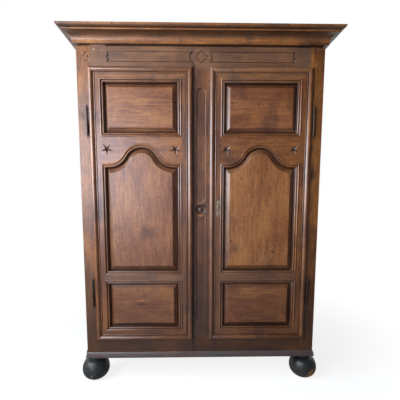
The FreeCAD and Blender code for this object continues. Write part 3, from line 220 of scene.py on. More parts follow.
class Finish:
    """A material, or the world, under construction."""

    def __init__(self, owner):
        self.owner = owner
        owner.use_nodes = True
        self.tree = owner.node_tree
        self.tree.nodes.clear()

    @classmethod
    def named(cls, name):
        return cls(bpy.data.materials.new(name))

    def add(self, kind, node_settings=None, sockets=None, output=0):
        """Adds a node: its settings first, then the values or links of its sockets."""
        node = self.tree.nodes.new(kind)
        for key, setting in (node_settings or {}).items():
            if key == "stops":
                self.set_stops(node.color_ramp, setting)
            else:
                setattr(node, key, setting)
        for key, item in (sockets or {}).items():
            if isinstance(item, Value):
                self.tree.links.new(item.socket, node.inputs[key])
            else:
                node.inputs[key].default_value = item
        return Value(self.tree, node.outputs[output]) if node.outputs else None

    @staticmethod
    def set_stops(ramp, stops):
        while len(ramp.elements) < len(stops):
            ramp.elements.new(0.5)
        for element, (position, tone) in zip(ramp.elements, stops):
            element.position = position
            element.color = (*tone, 1)

    def place(self):
        """Coordinates of the piece at rest, in metres."""
        return self.add("ShaderNodeTexCoord", output=3)

    def attribute(self, name, output):
        """A value stored on the mesh: output 1 is a vector, 2 is a number."""
        node_settings = {"attribute_name": name, "attribute_type": "GEOMETRY"}
        return self.add("ShaderNodeAttribute", node_settings, output=output)

    def parts(self, vector):
        return [self.add("ShaderNodeSeparateXYZ", sockets={0: vector}, output=axis) for axis in range(3)]

    def vector(self, operation, *operands, output=0):
        sockets = dict(enumerate(operands))
        return self.add("ShaderNodeVectorMath", {"operation": operation}, sockets, output)

    def stretched(self, vector, factors):
        return self.vector("MULTIPLY", vector, factors)

    def reach(self, vector):
        return self.vector("LENGTH", vector, output=1)

    def noise(self, vector, factors, detail=2.0, roughness=0.5, output=0):
        """Uneven values along a stretched vector."""
        vector = self.stretched(vector, factors)
        sockets = {"Vector": vector, "Scale": 1.0, "Detail": detail, "Roughness": roughness}
        return self.add("ShaderNodeTexNoise", sockets=sockets, output=output)

    def between(self, value, low, high):
        """0 below low, 1 above high, and a smooth step between."""
        sockets = {"Value": value, "From Min": low, "From Max": high, "To Min": 0.0, "To Max": 1.0}
        return self.add("ShaderNodeMapRange", {"interpolation_type": "SMOOTHSTEP"}, sockets)

    def mix(self, factor, first, second):
        """One colour over another."""
        first, second = (tone if isinstance(tone, Value) else (*tone, 1) for tone in (first, second))
        node_settings = {"data_type": "RGBA", "clamp_factor": True}
        return self.add("ShaderNodeMix", node_settings, {0: factor, 6: first, 7: second}, output=2)

    def bump(self, height, distance, strength=1.0, normal=None):
        sockets = {"Height": height, "Distance": distance, "Strength": strength}
        if normal is not None:
            sockets["Normal"] = normal
        return self.add("ShaderNodeBump", sockets=sockets)

    def surface(self, shader):
        self.add("ShaderNodeOutputMaterial", sockets={"Surface": shader})
        return self.owner

    def principled(self, sockets):
        return self.surface(self.add("ShaderNodeBsdfPrincipled", sockets=sockets))


# Tints of the milky wax bloom, which also stand in for painted sheen
MILKY_BLOOM_AND_SHEEN = (0.12, 0.084, 0.064)
GREY_BLOOM_AND_SHEEN = (0.055, 0.053, 0.055)
DUST_GREY = (0.15, 0.145, 0.145)
HOLE_SHADE = (0.008, 0.006, 0.005)


def toned(tint, *shares):
    """A colour made darker or paler, by one share or by one each for red, green and blue."""
    return tuple(part * share for part, share in zip(tint, shares if len(shares) == 3 else 3 * shares))


def wood_finish(name, tones, worn, gloss, polish, recess_dirt_and_shade=(), dust_and_shade=0.0, floor_shade=0.0, bloom_and_sheen_tint=MILKY_BLOOM_AND_SHEEN, marks=()):
    """Old timber: clouded colour, streaks and pores along the grain, rubbed edges, dirt and painted shade in
    hollows.

    The three tones go from the dark streaks to the pale ones. A recess of the front gives two depths,
    between which the timber darkens, as dirt and painted shade, and how much. Floor shade is painted shade
    that darkens the timber towards the floor. A mark gives its middle, its half sizes, its colour and its
    strength; one of the marks is a painted shadow.
    """
    deep, middle, pale = tones
    finish = Finish.named(name)
    mix, noise, between = finish.mix, finish.noise, finish.between
    grain = finish.attribute("grain", 1)
    tone, arris, bloom, cut = (finish.attribute(key, 2) for key in ("tone", "arris", "bloom", "cut"))
    place = finish.place()
    wander = noise(grain, (5, 5, 1.4), 2, output=1)
    line = finish.vector("MULTIPLY_ADD", wander, (0.03, 0.03, 0), grain)
    figure = noise(line, (75, 75, 7), 4, 0.6)
    streaks = noise(line, (190, 190, 7), 3, 0.6)
    fibres = noise(line, (430, 430, 14), 2)
    clouds = noise(grain, (9, 9, 4), 4, 0.6)
    specks = noise(grain, (230, 230, 110), 3, 0.6)
    pores = between(noise(grain, (900, 900, 40), 1), 0.55, 0.72)
    light = figure * 0.6 + clouds * 0.85 + streaks * 0.55 + fibres * 0.35 + specks * 0.65 - 1.0 + tone
    stops = ((0.22, deep), (0.5, middle), (0.78, pale))
    base = finish.add("ShaderNodeValToRGB", {"stops": stops}, {0: light})
    base = mix(pores * 0.45, base, toned(deep, 0.5))
    wounds = between(noise(grain, (46, 46, 30), 1), 0.735, 0.765)
    base = mix(wounds * 0.8, base, toned(deep, 0.2))

    blotches = noise(place, (5.2, 5.2, 4.1), 5, 0.65)
    soiled = between(blotches, 0.53, 0.68)
    base = mix(soiled * 0.6, base, toned(deep, 0.6))
    fiery = between(noise(place, (8, 8, 5.5), 4, 0.6), 0.52, 0.68)
    base = mix(fiery * 0.3, base, toned(pale, 1.05, 0.92, 0.7))
    scuffs = noise(place, (38, 38, 38), 4, 0.65)
    # Painted shade: the timber darkens towards the floor, as if less light reached it there.
    if floor_shade:
        low = 1 - between(finish.parts(place)[2] + (blotches - 0.5) * 0.5, 0.25, 1.15)
        base = mix(low * floor_shade, base, toned(deep, 0.2))
    # Milky bloom of the wax, partly painted sheen: the bluish veil on the door rails, the frieze and the
    # base.
    base = mix(bloom * (clouds * 0.9 + specks * 0.9 + 0.1), base, bloom_and_sheen_tint)
    # Dirt and painted shade in the carved cuts and the gaps.
    base = mix(cut, base, toned(deep, 0.3))
    bare = arris * between(scuffs, 0.44, 0.64)
    base = mix(bare * 0.5, base, worn)
    dull = 0.0
    for centre, size, tint, strength in marks:
        near = finish.stretched(finish.vector("SUBTRACT", place, centre), tuple(1 / part for part in size))
        near = finish.reach(near) + (scuffs - 0.5) * 1.3
        mark = (1 - between(near, 0.7, 1.15)) * strength
        base = mix(mark, base, tint)
        dull = mark * 0.5 + dull
    behind = finish.parts(place)[1] + (scuffs - 0.5) * (1.2 * MM)
    before = 1 - between(behind, FACE_Y + 6 * MM, FACE_Y + 8 * MM)
    # Dirt and painted shade: the front's recesses darken the deeper they lie behind it.
    for start, full, amount in recess_dirt_and_shade:
        depth = between(behind, start, full) * before
        base = mix(depth * amount, base, toned(deep, 0.3))
    rough = soiled * 0.1 + pores * 0.1 + (scuffs - 0.5) * 0.3 + (clouds - 0.5) * 0.2 + bare * 0.2
    rough = rough + gloss + dull
    if dust_and_shade:
        upward = finish.parts(finish.add("ShaderNodeNewGeometry", output=1))[2]
        # Painted shade: surfaces that face down are darkened; the rest of this block is dust on surfaces
        # that face up.
        underside_shade = between(0 - upward, 0.25, 0.9)
        base = mix(underside_shade * 0.75, base, toned(deep, 0.35))
        settled = between(upward, 0.2, 0.95) * between(scuffs, 0.25, 0.65)
        base = mix(settled * dust_and_shade, base, DUST_GREY)
        rough = rough + settled * 0.2
    relief = fibres * 0.6 + streaks * 0.5 - pores * 0.6
    planed = noise(grain, (26, 26, 4), 2)
    normal = finish.bump(planed, 1.4 * MM, 0.5)
    normal = finish.bump(relief, 0.25 * MM, 0.6, normal)
    return finish.principled({
        "Base Color": base, "Roughness": rough, "Specular IOR Level": 0.65, "Coat Weight": polish,
        "Coat Roughness": 0.26, "Normal": normal,
    })


def foot_finish(name, black, worn):
    """Black polish on turned wood, scraped through to the timber here and there."""
    finish = Finish.named(name)
    place = finish.place()
    scrapes = finish.noise(place, (34, 34, 48), 5, 0.7)
    cloud = finish.noise(place, (15, 15, 15), 4, 0.65)
    turned = finish.noise(place, (12, 12, 190), 3, 0.6)
    flecks = finish.between(finish.noise(place, (110, 110, 110), 2), 0.66, 0.72)
    side, _, height = finish.parts(place)
    low = 1 - finish.between(height, 0.02, 0.115)
    outer = finish.between(side, 0.625, 0.69)
    rubbed = finish.between(scrapes * 0.95 + low * 0.12 + low * outer * 0.5, 0.62, 0.76)
    base = finish.mix(cloud, toned(black, 0.4), toned(black, 2.4))
    base = finish.mix(rubbed * 0.9, base, toned(worn, 0.95, 0.8, 0.5))
    base = finish.mix(flecks * 0.6, base, worn)
    rough = 0.36 + cloud * 0.2 + rubbed * 0.25
    normal = finish.bump(scrapes, 2.5 * MM, 0.6)
    normal = finish.bump(turned, 1.2 * MM, 0.6, normal)
    return finish.principled({
        "Base Color": base, "Roughness": rough, "Specular IOR Level": 0.6, "Normal": normal,
    })


def iron_finish(name, skin, rust, shine, metal=1.0):
    """Forged iron: dark skin, rust in the pits, and bright where hands rub it."""
    finish = Finish.named(name)
    place = finish.place()
    arris = finish.attribute("arris", 2)
    pits = finish.noise(place, (240, 240, 240), 4, 0.6)
    cloud = finish.noise(place, (45, 45, 45), 3)
    rusty = finish.between(pits * 0.6 + cloud * 0.5, 0.5, 0.68)
    base = finish.mix(rusty * 0.7, skin, rust)
    base = finish.mix(arris * 0.6, base, tuple(min(1, 2.6 * part) for part in skin))
    # Painted shade: the floors of the blind piercings are painted black, so that they look like deep holes.
    base = finish.mix(finish.attribute("cut", 2), base, HOLE_SHADE)
    rough = 0.42 + rusty * 0.3 - shine * 0.12
    normal = finish.bump(pits, 0.35 * MM, 0.6)
    return finish.principled({
        "Base Color": base, "Metallic": metal - rusty * (0.7 * metal), "Roughness": rough,
        "Normal": normal,
    })


FINISHES = {}


def finish_of(slot):
    """The finish of one material slot; all of them are made when the first is wanted."""
    if not FINISHES:
        make_finishes(bpy.context)
    return FINISHES[slot]


def make_finishes(context):
    wood = settings(context).wood
    iron = settings(context).iron
    worn = wood.worn

    def tones(name):
        return [getattr(wood, f"{name}_{part}") for part in ("deep", "middle", "pale")]

    # Dirt and painted shade in the doors' quirks and at the foot of the panels' margins.
    quirk_dirt_and_shade = ((FACE_Y - 11.2 * MM, FACE_Y - 9.4 * MM, 0.3), (FACE_Y - 9.4 * MM, FACE_Y - 7.7 * MM, 0.9))
    margin_dirt_and_shade = ((FACE_Y - 11.8 * MM, FACE_Y - 10.9 * MM, 0.42), (FACE_Y + 0.5 * MM, FACE_Y + 5.5 * MM, 0.85))
    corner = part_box("left_door_lower_panel")[0]
    knot = Vector((corner.x + 186 * MM, FLAT_Y, corner.z + 142 * MM))
    dark = toned(wood.panel_deep, 0.4)
    glow = toned(wood.panel_pale, 1.2)
    knots = (
        (knot + Vector((0, 0, 21 * MM)), (20 * MM, 0.1, 8 * MM), glow, 0.4),
        (knot, (44 * MM, 0.1, 9 * MM), toned(wood.panel_deep, 0.7), 0.45),
        (knot, (14 * MM, 0.1, 5 * MM), dark, 0.6),
    )
    black = toned(wood.case_deep, 0.15)
    chip, orange = (0.5, 0.36, 0.17), (0.34, 0.13, 0.045)
    grey, haze = (0.36, 0.33, 0.3), (0.2, 0.15, 0.13)
    scars_and_shadow = [
        (Vector((x * MM, FACE_Y, z * MM)), (wide * MM, 0.03, high * MM), tint, strength)
        for x, z, wide, high, tint, strength in (
            (-570, 1905, 5, 3.5, chip, 0.9), (-527, 1902, 4, 4, grey, 0.7), (-578, 1890, 2.5, 2, chip, 0.7),
            (-605.6, 1869.5, 5, 6, black, 0.95), (-630, 1874, 7, 4, black, 0.6),
            (-620, 1881, 7, 4, black, 0.6), (-595, 1850, 3, 9, grey, 0.5), (626, 1248, 16, 30, black, 0.6),
            (606, 1375, 8, 40, black, 0.5), (-640, 1560, 10, 26, black, 0.4), (-4, 1091, 17, 8, orange, 0.5),
            (-3, 1022, 20, 9, orange, 0.7), (-637, 1623, 24, 2, grey, 0.3), (-655, 1621, 4, 5, grey, 0.6),
            # The long black mark at x -45 mm is a painted shadow, cast by the left door's lip on the centre
            # stile.
            (-640, 1556, 20, 66, haze, 0.3), (-45, 1060, 18, 900, black, 0.75),
            (14, 1104, 3.5, 12, grey, 0.8), (20, 1078, 5, 5, black, 0.7), (-560, 205, 3, 2, chip, 0.6),
            (-345, 212, 2.5, 2, chip, 0.6), (92, 199, 3, 2, chip, 0.6), (410, 207, 2.5, 2, chip, 0.6),
        )
    ]
    FINISHES.update({
        "case_wood": wood_finish("case_wax", tones("case"), worn, 0.46, 0.25, floor_shade=0.7, marks=scars_and_shadow),
        "door_wood": wood_finish("door_wax", tones("door"), worn, 0.43, 0.55, quirk_dirt_and_shade, floor_shade=0.25),
        "panel_wood": wood_finish("panel_wax", tones("panel"), worn, 0.45, 0.3, margin_dirt_and_shade, floor_shade=0.28,
                                  marks=knots),
        "moulding_wood": wood_finish("moulding_wax", tones("moulding"), worn, 0.46, 0.3, dust_and_shade=0.6,
                                     bloom_and_sheen_tint=GREY_BLOOM_AND_SHEEN),
        "inner_wood": wood_finish("bare_boards", tones("inner"), worn, 0.72, 0.0, dust_and_shade=0.3),
        "dark_wood": foot_finish("black_feet", wood.foot_black, worn),
        "hinge_iron": iron_finish("hinge_iron", iron.iron, iron.rust, 0.0),
        "lock_iron": iron_finish("lock_iron", toned(iron.iron, 1.5), iron.rust, 0.5),
        "escutcheon_metal": iron_finish("rubbed_plate", iron.rubbed, iron.rust, 1.0, 0.35),
    })


GRAIN_ORDER = {"x": (1, 2, 0), "y": (0, 2, 1), "z": (0, 1, 2)}
EDGE = math.radians(28)
FLAT = math.radians(0.05)
WELD = 0.0002 * MM
CARVED_WELD = 0.0005 * MM
SKIN = 0.05 * MM
SHARP = math.radians(22)
SLIGHT = math.radians(1.5)
BROAD = 20 * MM
# Tones of single boards; the centre stile's darker tone is painted shade, for the shadow of the left door's
# lip.
BOARD_TONES_AND_SHADE = {
    "front_bottom_rail": -0.02, "centre_stile": -0.22, "right_front_post": 0.08,
    "left_door_top_rail": 0.1, "left_door_arched_rail": 0.08, "right_door_top_rail": 0.18,
    "left_door_upper_panel": -0.06, "left_door_lower_panel": 0.03, "right_door_upper_panel": -0.12,
    "right_door_arched_panel": 0.08, "right_door_lower_panel": -0.08, "cornice_front": 0.06,
}


def islands(shape):
    """Lists of connected corners, one for each separate solid in a mesh."""
    seen = set()
    for corner in shape.verts:
        if corner in seen:
            continue
        seen.add(corner)
        found = [corner]
        for other in found:
            for edge in other.link_edges:
                far = edge.other_vert(other)
                if far not in seen:
                    seen.add(far)
                    found.append(far)
        yield found


def mark_grain(shape, name, along, tone, bloom):
    """Stores each corner's place in its own board, the board's tone, and how milky its polish has gone,
    which also stands for painted sheen.
    """
    grain_layer = shape.verts.layers.float_vector.new("grain")
    tone_layer = shape.verts.layers.float.new("tone")
    bloom_and_sheen_layer = shape.verts.layers.float.new("bloom")
    chance = random.Random(name)
    order = GRAIN_ORDER[along]
    for corners in islands(shape):
        shift = Vector((chance.uniform(-9, 9) for _ in range(3)))
        board_tone = tone + chance.uniform(-0.05, 0.05)
        for corner in corners:
            corner[grain_layer] = Vector(corner.co[axis] for axis in order) + shift
            corner[tone_layer] = board_tone
            corner[bloom_and_sheen_layer] = bloom


def soften(shape, width):
    """Rubs down the outer edges and remembers where."""
    arris = shape.faces.layers.float.new("arris")
    edges = [
        edge for edge in shape.edges
        if len(edge.link_faces) == 2 and edge.is_convex and edge.calc_face_angle() > EDGE
    ]
    if width and edges:
        made = bmesh.ops.bevel(shape, geom=edges, offset=width, offset_type="OFFSET", segments=2,
                               profile=0.5, affect="EDGES", clamp_overlap=True)
        for face in made["faces"]:
            face[arris] = 1.0


def join_flats(shape):
    bmesh.ops.dissolve_limit(shape, angle_limit=FLAT, verts=shape.verts, edges=shape.edges)


def node_shape(node):
    """A merged copy of a CAD node's mesh."""
    shape = bmesh.new()
    source = frame["nodes"][node].data
    corners = [shape.verts.new(vertex.co) for vertex in source.vertices]
    for polygon in source.polygons:
        shape.faces.new([corners[index] for index in polygon.vertices])
    bmesh.ops.remove_doubles(shape, verts=shape.verts, dist=WELD)
    join_flats(shape)
    return shape


def box_shape(boxes):
    """Separate boxes, given by their lowest and highest corners."""
    shape = bmesh.new()
    for low, high in boxes:
        made = bmesh.ops.create_cube(shape, size=1)["verts"]
        size = Vector(high) - Vector(low)
        middle = (Vector(high) + Vector(low)) / 2
        placed = Matrix.Translation(middle) @ Matrix.Diagonal((*size, 1))
        bmesh.ops.transform(shape, verts=made, matrix=placed)
    return shape


def extent(corners):
    """Lowest and highest place that corners take up."""
    return [Vector(pick(corner.co[axis] for corner in corners) for axis in range(3)) for pick in (min, max)]


def loose_piece(name, shape):
    """A new object with a shape's mesh; the shape itself is used up."""
    mesh = bpy.data.meshes.new(name)
    shape.to_mesh(mesh)
    shape.free()
    piece = bpy.data.objects.new(name, mesh)
    bpy.context.scene.collection.objects.link(piece)
    return piece


def plain_shape(piece):
    """The shape that a piece's modifiers make."""
    bpy.context.view_layer.update()
    evaluated = piece.evaluated_get(bpy.context.evaluated_depsgraph_get())
    mesh = bpy.data.meshes.new_from_object(evaluated)
    shape = bmesh.new()
    shape.from_mesh(mesh)
    bpy.data.meshes.remove(mesh)
    return shape


def carved(shape, cutters, plane, cut_dirt_and_shade):
    """The shape with each cutter's volume taken away, and the cuts behind the plane darkened as dirt and
    painted shade.
    """
    if not cutters:
        return shape
    blank = loose_piece("blank", shape)
    tools = []
    boxes = []
    for cutter in cutters:
        boxes.append(extent(cutter.verts))
        bmesh.ops.recalc_face_normals(cutter, faces=cutter.faces)
        tools.append(loose_piece("tool", cutter))
        cut = blank.modifiers.new("cut", "BOOLEAN")
        cut.operation = "DIFFERENCE"
        cut.solver = "EXACT"
        cut.use_self = True
        cut.object = tools[-1]
    shape = plain_shape(blank)
    for thing in (blank, *tools):
        bpy.data.objects.remove(thing)
    bmesh.ops.remove_doubles(shape, verts=shape.verts, dist=CARVED_WELD)
    join_flats(shape)
    cut_layer = shape.faces.layers.float.new("cut")
    for face in shape.faces:
        middle = face.calc_center_median()
        inside = any(
            all(low[axis] < middle[axis] < high[axis] for axis in range(3)) for low, high in boxes
        )
        face[cut_layer] = cut_dirt_and_shade if inside and middle.y > plane + SKIN else 0.0
    return shape


def mark_sharp(shape):
    """Smooth shading with sharp corners, also all round each broad flat, so that no flat looks domed."""
    broad = set()
    for face in shape.faces:
        face.smooth = True
        if face.calc_area() > BROAD * max(edge.calc_length() for edge in face.edges):
            broad.add(face)
    for edge in shape.edges:
        limit = SLIGHT if any(face in broad for face in edge.link_faces) else SHARP
        edge.smooth = edge.calc_face_angle(math.pi) < limit


def add_piece(name, shape, material):
    """A finished object at the origin, with its place in its mesh."""
    mark_sharp(shape)
    piece = loose_piece(name, shape)
    piece.data.materials.append(material)
    return piece


def finish_piece(name, shape, body, slot, along, width, tone=0.0, bloom=0.0):
    """Softens and grains a shape, and lets it ride on a body."""
    soften(shape, width)
    mark_grain(shape, name, along, tone, bloom)
    piece = add_piece(name, shape, finish_of(slot))
    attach(piece, body)
    return piece


def finish_node(node, shape, along, width, bloom=0.0):
    """A finished piece that stands for a CAD node."""
    name = f"{node}_finished"
    tone = BOARD_TONES_AND_SHADE.get(node, 0.0)
    piece = finish_piece(name, shape, BODY_OF[node], SLOT_OF[node], along, width, tone, bloom)
    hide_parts(node)
    return piece


def dress(node, along, width, cutters=(), plane=0.0, bloom=0.0, cut_dirt_and_shade=0.9):
    """A finished copy of a CAD node, carved on its front plane."""
    shape = carved(node_shape(node), list(cutters), plane, cut_dirt_and_shade)
    return finish_node(node, shape, along, width, bloom)


def sides(name):
    """Names of a piece's left and right copies."""
    return (f"left_{name}", f"right_{name}")


def star_cutter(centre, radius, depth):
    """A five-pointed star, point down, whose sloping cuts meet in its middle."""
    shape = bmesh.new()
    corners = 10
    inner = 0.3
    spare = 0.4
    rim = []
    for step in range(corners):
        angle = -math.pi / 2 + step * math.tau / corners
        reach = radius * (1 + spare) * (1 if step % 2 == 0 else inner)
        offset = Vector((math.cos(angle) * reach, -depth * spare, math.sin(angle) * reach))
        rim.append(shape.verts.new(centre + offset))
    bottom = shape.verts.new(centre + Vector((0, depth, 0)))
    shape.faces.new(rim)
    for step in range(corners):
        shape.faces.new((rim[step], rim[(step + 1) % corners], bottom))
    return shape


# Shares of the dish's radius and depth, from its button outwards
DISH = (
    (0, 0.5), (0.16, 0.52), (0.26, 0.72), (0.4, 0.97), (0.7, 1), (0.86, 0.8), (0.97, 0.3), (1.03, -0.15),
)
DISH_STEPS = 28
DRILL_STEPS = 14


def round_rim(shape, centre, radius, y, steps):
    """Corners of a circle that faces the front."""
    turns = [step * math.tau / steps for step in range(steps)]
    return [
        shape.verts.new(centre + Vector((radius * math.cos(turn), y, radius * math.sin(turn))))
        for turn in turns
    ]


def close_band(shape, near, far):
    """Faces all round between two rims."""
    steps = len(near)
    for step in range(steps):
        other = (step + 1) % steps
        shape.faces.new((near[step], near[other], far[other], far[step]))


def dish_cutter(centre, radius, depth):
    """A turned cutter that leaves a button in a round dish."""
    shape = bmesh.new()
    middle = shape.verts.new(centre + Vector((0, depth * DISH[0][1], 0)))
    rims = [round_rim(shape, centre, radius * share, depth * drop, DISH_STEPS) for share, drop in DISH[1:]]
    for step in range(DISH_STEPS):
        other = (step + 1) % DISH_STEPS
        shape.faces.new((middle, rims[0][step], rims[0][other]))
        for near, far in zip(rims, rims[1:]):
            shape.faces.new((near[step], far[step], far[other], near[other]))
    shape.faces.new(rims[-1])
    return shape


def drill_cutter(centre, radius, depth):
    """A round cutter that goes backwards from its centre."""
    shape = bmesh.new()
    rims = [round_rim(shape, centre, radius, y, DRILL_STEPS) for y in (0, depth)]
    for rim in rims:
        shape.faces.new(rim)
    close_band(shape, *rims)
    return shape


def gouge_cutter(points, y, spokes=6):
    """A round gouge led along a closed line on the front. A point is x, z and a radius."""
    count = len(points)
    shape = bmesh.new()
    rings = []
    for index in range(count):
        here = Vector(points[index][:2])
        radius = points[index][2]
        before = (here - Vector(points[index - 1][:2])).normalized()
        after = (Vector(points[(index + 1) % count][:2]) - here).normalized()
        along = (before + after).normalized()
        across = Vector((-along.y, along.x))
        stretch = 1 / max(0.5, along.dot(after))
        ring = []
        for spoke in range(spokes):
            angle = spoke * math.tau / spokes
            side = across * math.cos(angle) * radius * stretch
            ring.append(shape.verts.new((here.x + side.x, y + math.sin(angle) * radius, here.y + side.y)))
        rings.append(ring)
    for index in range(count):
        close_band(shape, rings[index], rings[(index + 1) % count])
    return shape


def arc_points(centre, radius, start, end, steps):
    """Points on an arc, without its last one."""
    return [
        (centre[0] + radius * math.cos(start + (end - start) * step / steps),
         centre[1] + radius * math.sin(start + (end - start) * step / steps))
        for step in range(steps)
    ]


def band_line(carving, side):
    """Outline of one framed band on the frieze: a hollow inner end and a bracket at the outer end."""
    half = carving.band_half
    fine, bold = carving.groove_radius, carving.gouge_radius
    hollow = 33 * MM
    centre = carving.band_start - hollow
    opening = math.asin(half / hollow)
    inner = arc_points((centre, 0), hollow, -opening, opening, 10)
    inner.append((centre + hollow * math.cos(opening), half))
    upper = ((0, 1), (-6, 0.84), (-8.5, 0.5), (-5, 0.2))
    bracket = (*upper, (0, 0), *((inward, -height) for inward, height in reversed(upper)))
    outer = [(carving.band_end + inward * MM, half * height) for inward, height in bracket]
    line = []
    for end in (inner, outer):
        line += [(x, z, fine if place in (0, len(end) - 1) else bold) for place, (x, z) in enumerate(end)]
    return [(side * x, FRIEZE_MIDDLE + z, radius) for x, z, radius in line]


def quatrefoil_line(carving):
    """Outline of four lobes."""
    offset = carving.quatrefoil * 0.49
    radius = carving.quatrefoil - offset
    half_lobe = 1.52
    line = []
    for quarter in range(4):
        facing = quarter * math.pi / 2
        centre = (offset * math.cos(facing), offset * math.sin(facing))
        line += arc_points(centre, radius, facing - half_lobe, facing + half_lobe, 12)
    return [(x, FRIEZE_MIDDLE + z, 0.85 * carving.gouge_radius) for x, z in line]


class CUPBOARD_OT_stage(bpy.types.Operator):
    """Pale floor, even surroundings, soft lights and the camera"""

    bl_idname = "cupboard.stage"
    bl_label = "Stage"

    def execute(self, context):
        stage = settings(context).stage
        scene = context.scene
        scene.view_settings.view_transform = "Standard"
        self.make_floor(stage)
        self.make_surroundings(scene, stage)
        middle = (0, FACE_Y, 1.15)
        for name, place, aim, size, tint, spread in (
            ("window", (-1.9, -1.9, 1.75), (0, -1.9, 1.75), (2.6, 1.4), (0.82, 0.91, 1.0), 180),
            ("pane", (-1.4, -3.6, 1.4), (-0.35, FACE_Y, 1.1), (1.0, 1.6), (0.74, 0.78, 1.0), 60),
            ("fill", (1.8, -2.0, 1.4), middle, (1.4, 1.6), (1.0, 0.9, 0.78), 180),
            ("overhead", (0.2, -1.6, 3.4), middle, (2.2, 1.4), (1.0, 0.95, 0.88), 180),
        ):
            lamp = self.make_light(scene, name, Vector(place), Vector(aim), getattr(stage, name))
            lamp.size, lamp.size_y = size
            lamp.color = tint
            lamp.spread = math.radians(spread)
        lens = bpy.data.cameras.new("camera")
        lens.lens = stage.lens
        lens.sensor_width = 36
        lens.shift_x = 0.015
        lens.shift_y = 0.0576
        lens.dof.use_dof = False
        camera = bpy.data.objects.new("camera", lens)
        camera.location = stage.eye
        camera.rotation_euler = (math.pi / 2 - stage.pitch, 0, -stage.turn)
        scene.collection.objects.link(camera)
        scene.camera = camera
        return {"FINISHED"}

    @staticmethod
    def seen(finish, stage, behind):
        """Where the camera looks straight, where by a mirror, and how bright the mirrored room is."""
        straight, glossy, clear = (finish.add("ShaderNodeLightPath", output=ray) for ray in (0, 3, 6))
        return straight, glossy.larger(clear), behind * (1 - stage.room) + stage.room

    @classmethod
    def make_floor(cls, stage):
        """A pale floor that keeps the shadow near the cupboard and turns white further away."""
        shape = bmesh.new()
        bmesh.ops.create_grid(shape, x_segments=1, y_segments=1, size=30)
        finish = Finish.named("pale_floor")
        white = finish.between(finish.reach(finish.place()), 0.7, 2.2) * 0.16 + 0.84
        behind = finish.between(finish.parts(finish.place())[1], -0.4, 0.8)
        straight, mirror, room = cls.seen(finish, stage, behind)
        shown = straight.larger(mirror * room)
        matt = finish.add("ShaderNodeBsdfDiffuse", sockets={"Color": (*stage.floor, 1)})
        shade = finish.mix(shown * white, (0, 0, 0), (1, 1, 1))
        glow = finish.add("ShaderNodeEmission", sockets={"Color": shade, "Strength": 1.0})
        material = finish.surface(finish.add("ShaderNodeAddShader", sockets={0: matt, 1: glow}))
        add_piece("floor", shape, material)

    @classmethod
    def make_surroundings(cls, scene, stage):
        """White behind the cupboard, a dim room before it, and a soft even light."""
        world = bpy.data.worlds.new("surroundings")
        scene.world = world
        finish = Finish(world)
        behind = finish.between(finish.parts(finish.add("ShaderNodeTexCoord", output=0))[1], -0.1, 0.5)
        straight, mirror, room = cls.seen(finish, stage, behind)
        strength = mirror * room + (1 - mirror) * stage.sky
        strength = straight + (1 - straight) * strength
        shade = finish.mix(strength, (0, 0, 0), (1, 1, 1))
        background = finish.add("ShaderNodeBackground", sockets={"Color": shade, "Strength": 1.0})
        finish.add("ShaderNodeOutputWorld", sockets={"Surface": background})

    @staticmethod
    def make_light(scene, name, place, aim, watts):
        """A soft lamp that faces its aim and isn't seen itself."""
        lamp = bpy.data.lights.new(name, "AREA")
        lamp.shape = "RECTANGLE"
        lamp.energy = watts
        light = bpy.data.objects.new(name, lamp)
        light.location = place
        light.rotation_euler = (aim - place).to_track_quat("-Z", "Y").to_euler()
        light.visible_camera = False
        scene.collection.objects.link(light)
        return lamp


class CUPBOARD_OT_case(bpy.types.Operator):
    """Posts, rails and fixed centre stile, with the frieze carved"""

    bl_idname = "cupboard.case"
    bl_label = "Case"

    def execute(self, context):
        width = settings(context).wood.arris
        carving = settings(context).carving
        lines = [band_line(carving, -1), band_line(carving, 1), quatrefoil_line(carving)]
        grooves = [gouge_cutter(line, FACE_Y) for line in lines]
        inner, outer = (corner.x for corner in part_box("right_front_post"))
        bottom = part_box("frieze_rail")[0].z - MM
        opening = (CORNICE_BOTTOM - GAP, CORNICE_BOTTOM + MM)
        closed, seam = 82 * MM, 0.7 * MM
        # A gap under the cornice, whose cut faces are darkened as painted shade.
        grooves.append(self.slit(-inner + closed, inner, *opening, depth=16 * MM))
        for x in (-inner, inner):
            grooves.append(self.slit(x - seam, x + seam, bottom, opening[0], depth=2.5 * MM))
        dress("frieze_rail", "x", width, grooves, FACE_Y, bloom=0.36)
        dress("front_bottom_rail", "x", width)
        rosette = dish_cutter(Vector((0, FACE_Y, ROSETTE_Z)), carving.dish_radius, carving.dish_depth)
        dress("centre_stile", "z", width, [rosette], FACE_Y, bloom=0.1, cut_dirt_and_shade=0.6)
        for node, turn in zip(sides("front_post"), (-1, 1)):
            ends = sorted((turn * (inner - MM), turn * (outer + MM)))
            dress(node, "z", 2 * width, [self.slit(*ends, *opening, depth=24 * MM)], FACE_Y)
        for name, along, rubbed in (("rear_post", "z", 2), ("side_rails", "y", 1), ("side_panels", "z", 1)):
            for node in sides(name):
                dress(node, along, rubbed * width)
        return {"FINISHED"}

    @staticmethod
    def slit(left, right, bottom, top, depth):
        """A cutter for a straight gap in the front face."""
        return box_shape([((left, FACE_Y - 3 * MM, bottom), (right, FACE_Y + depth, top))])


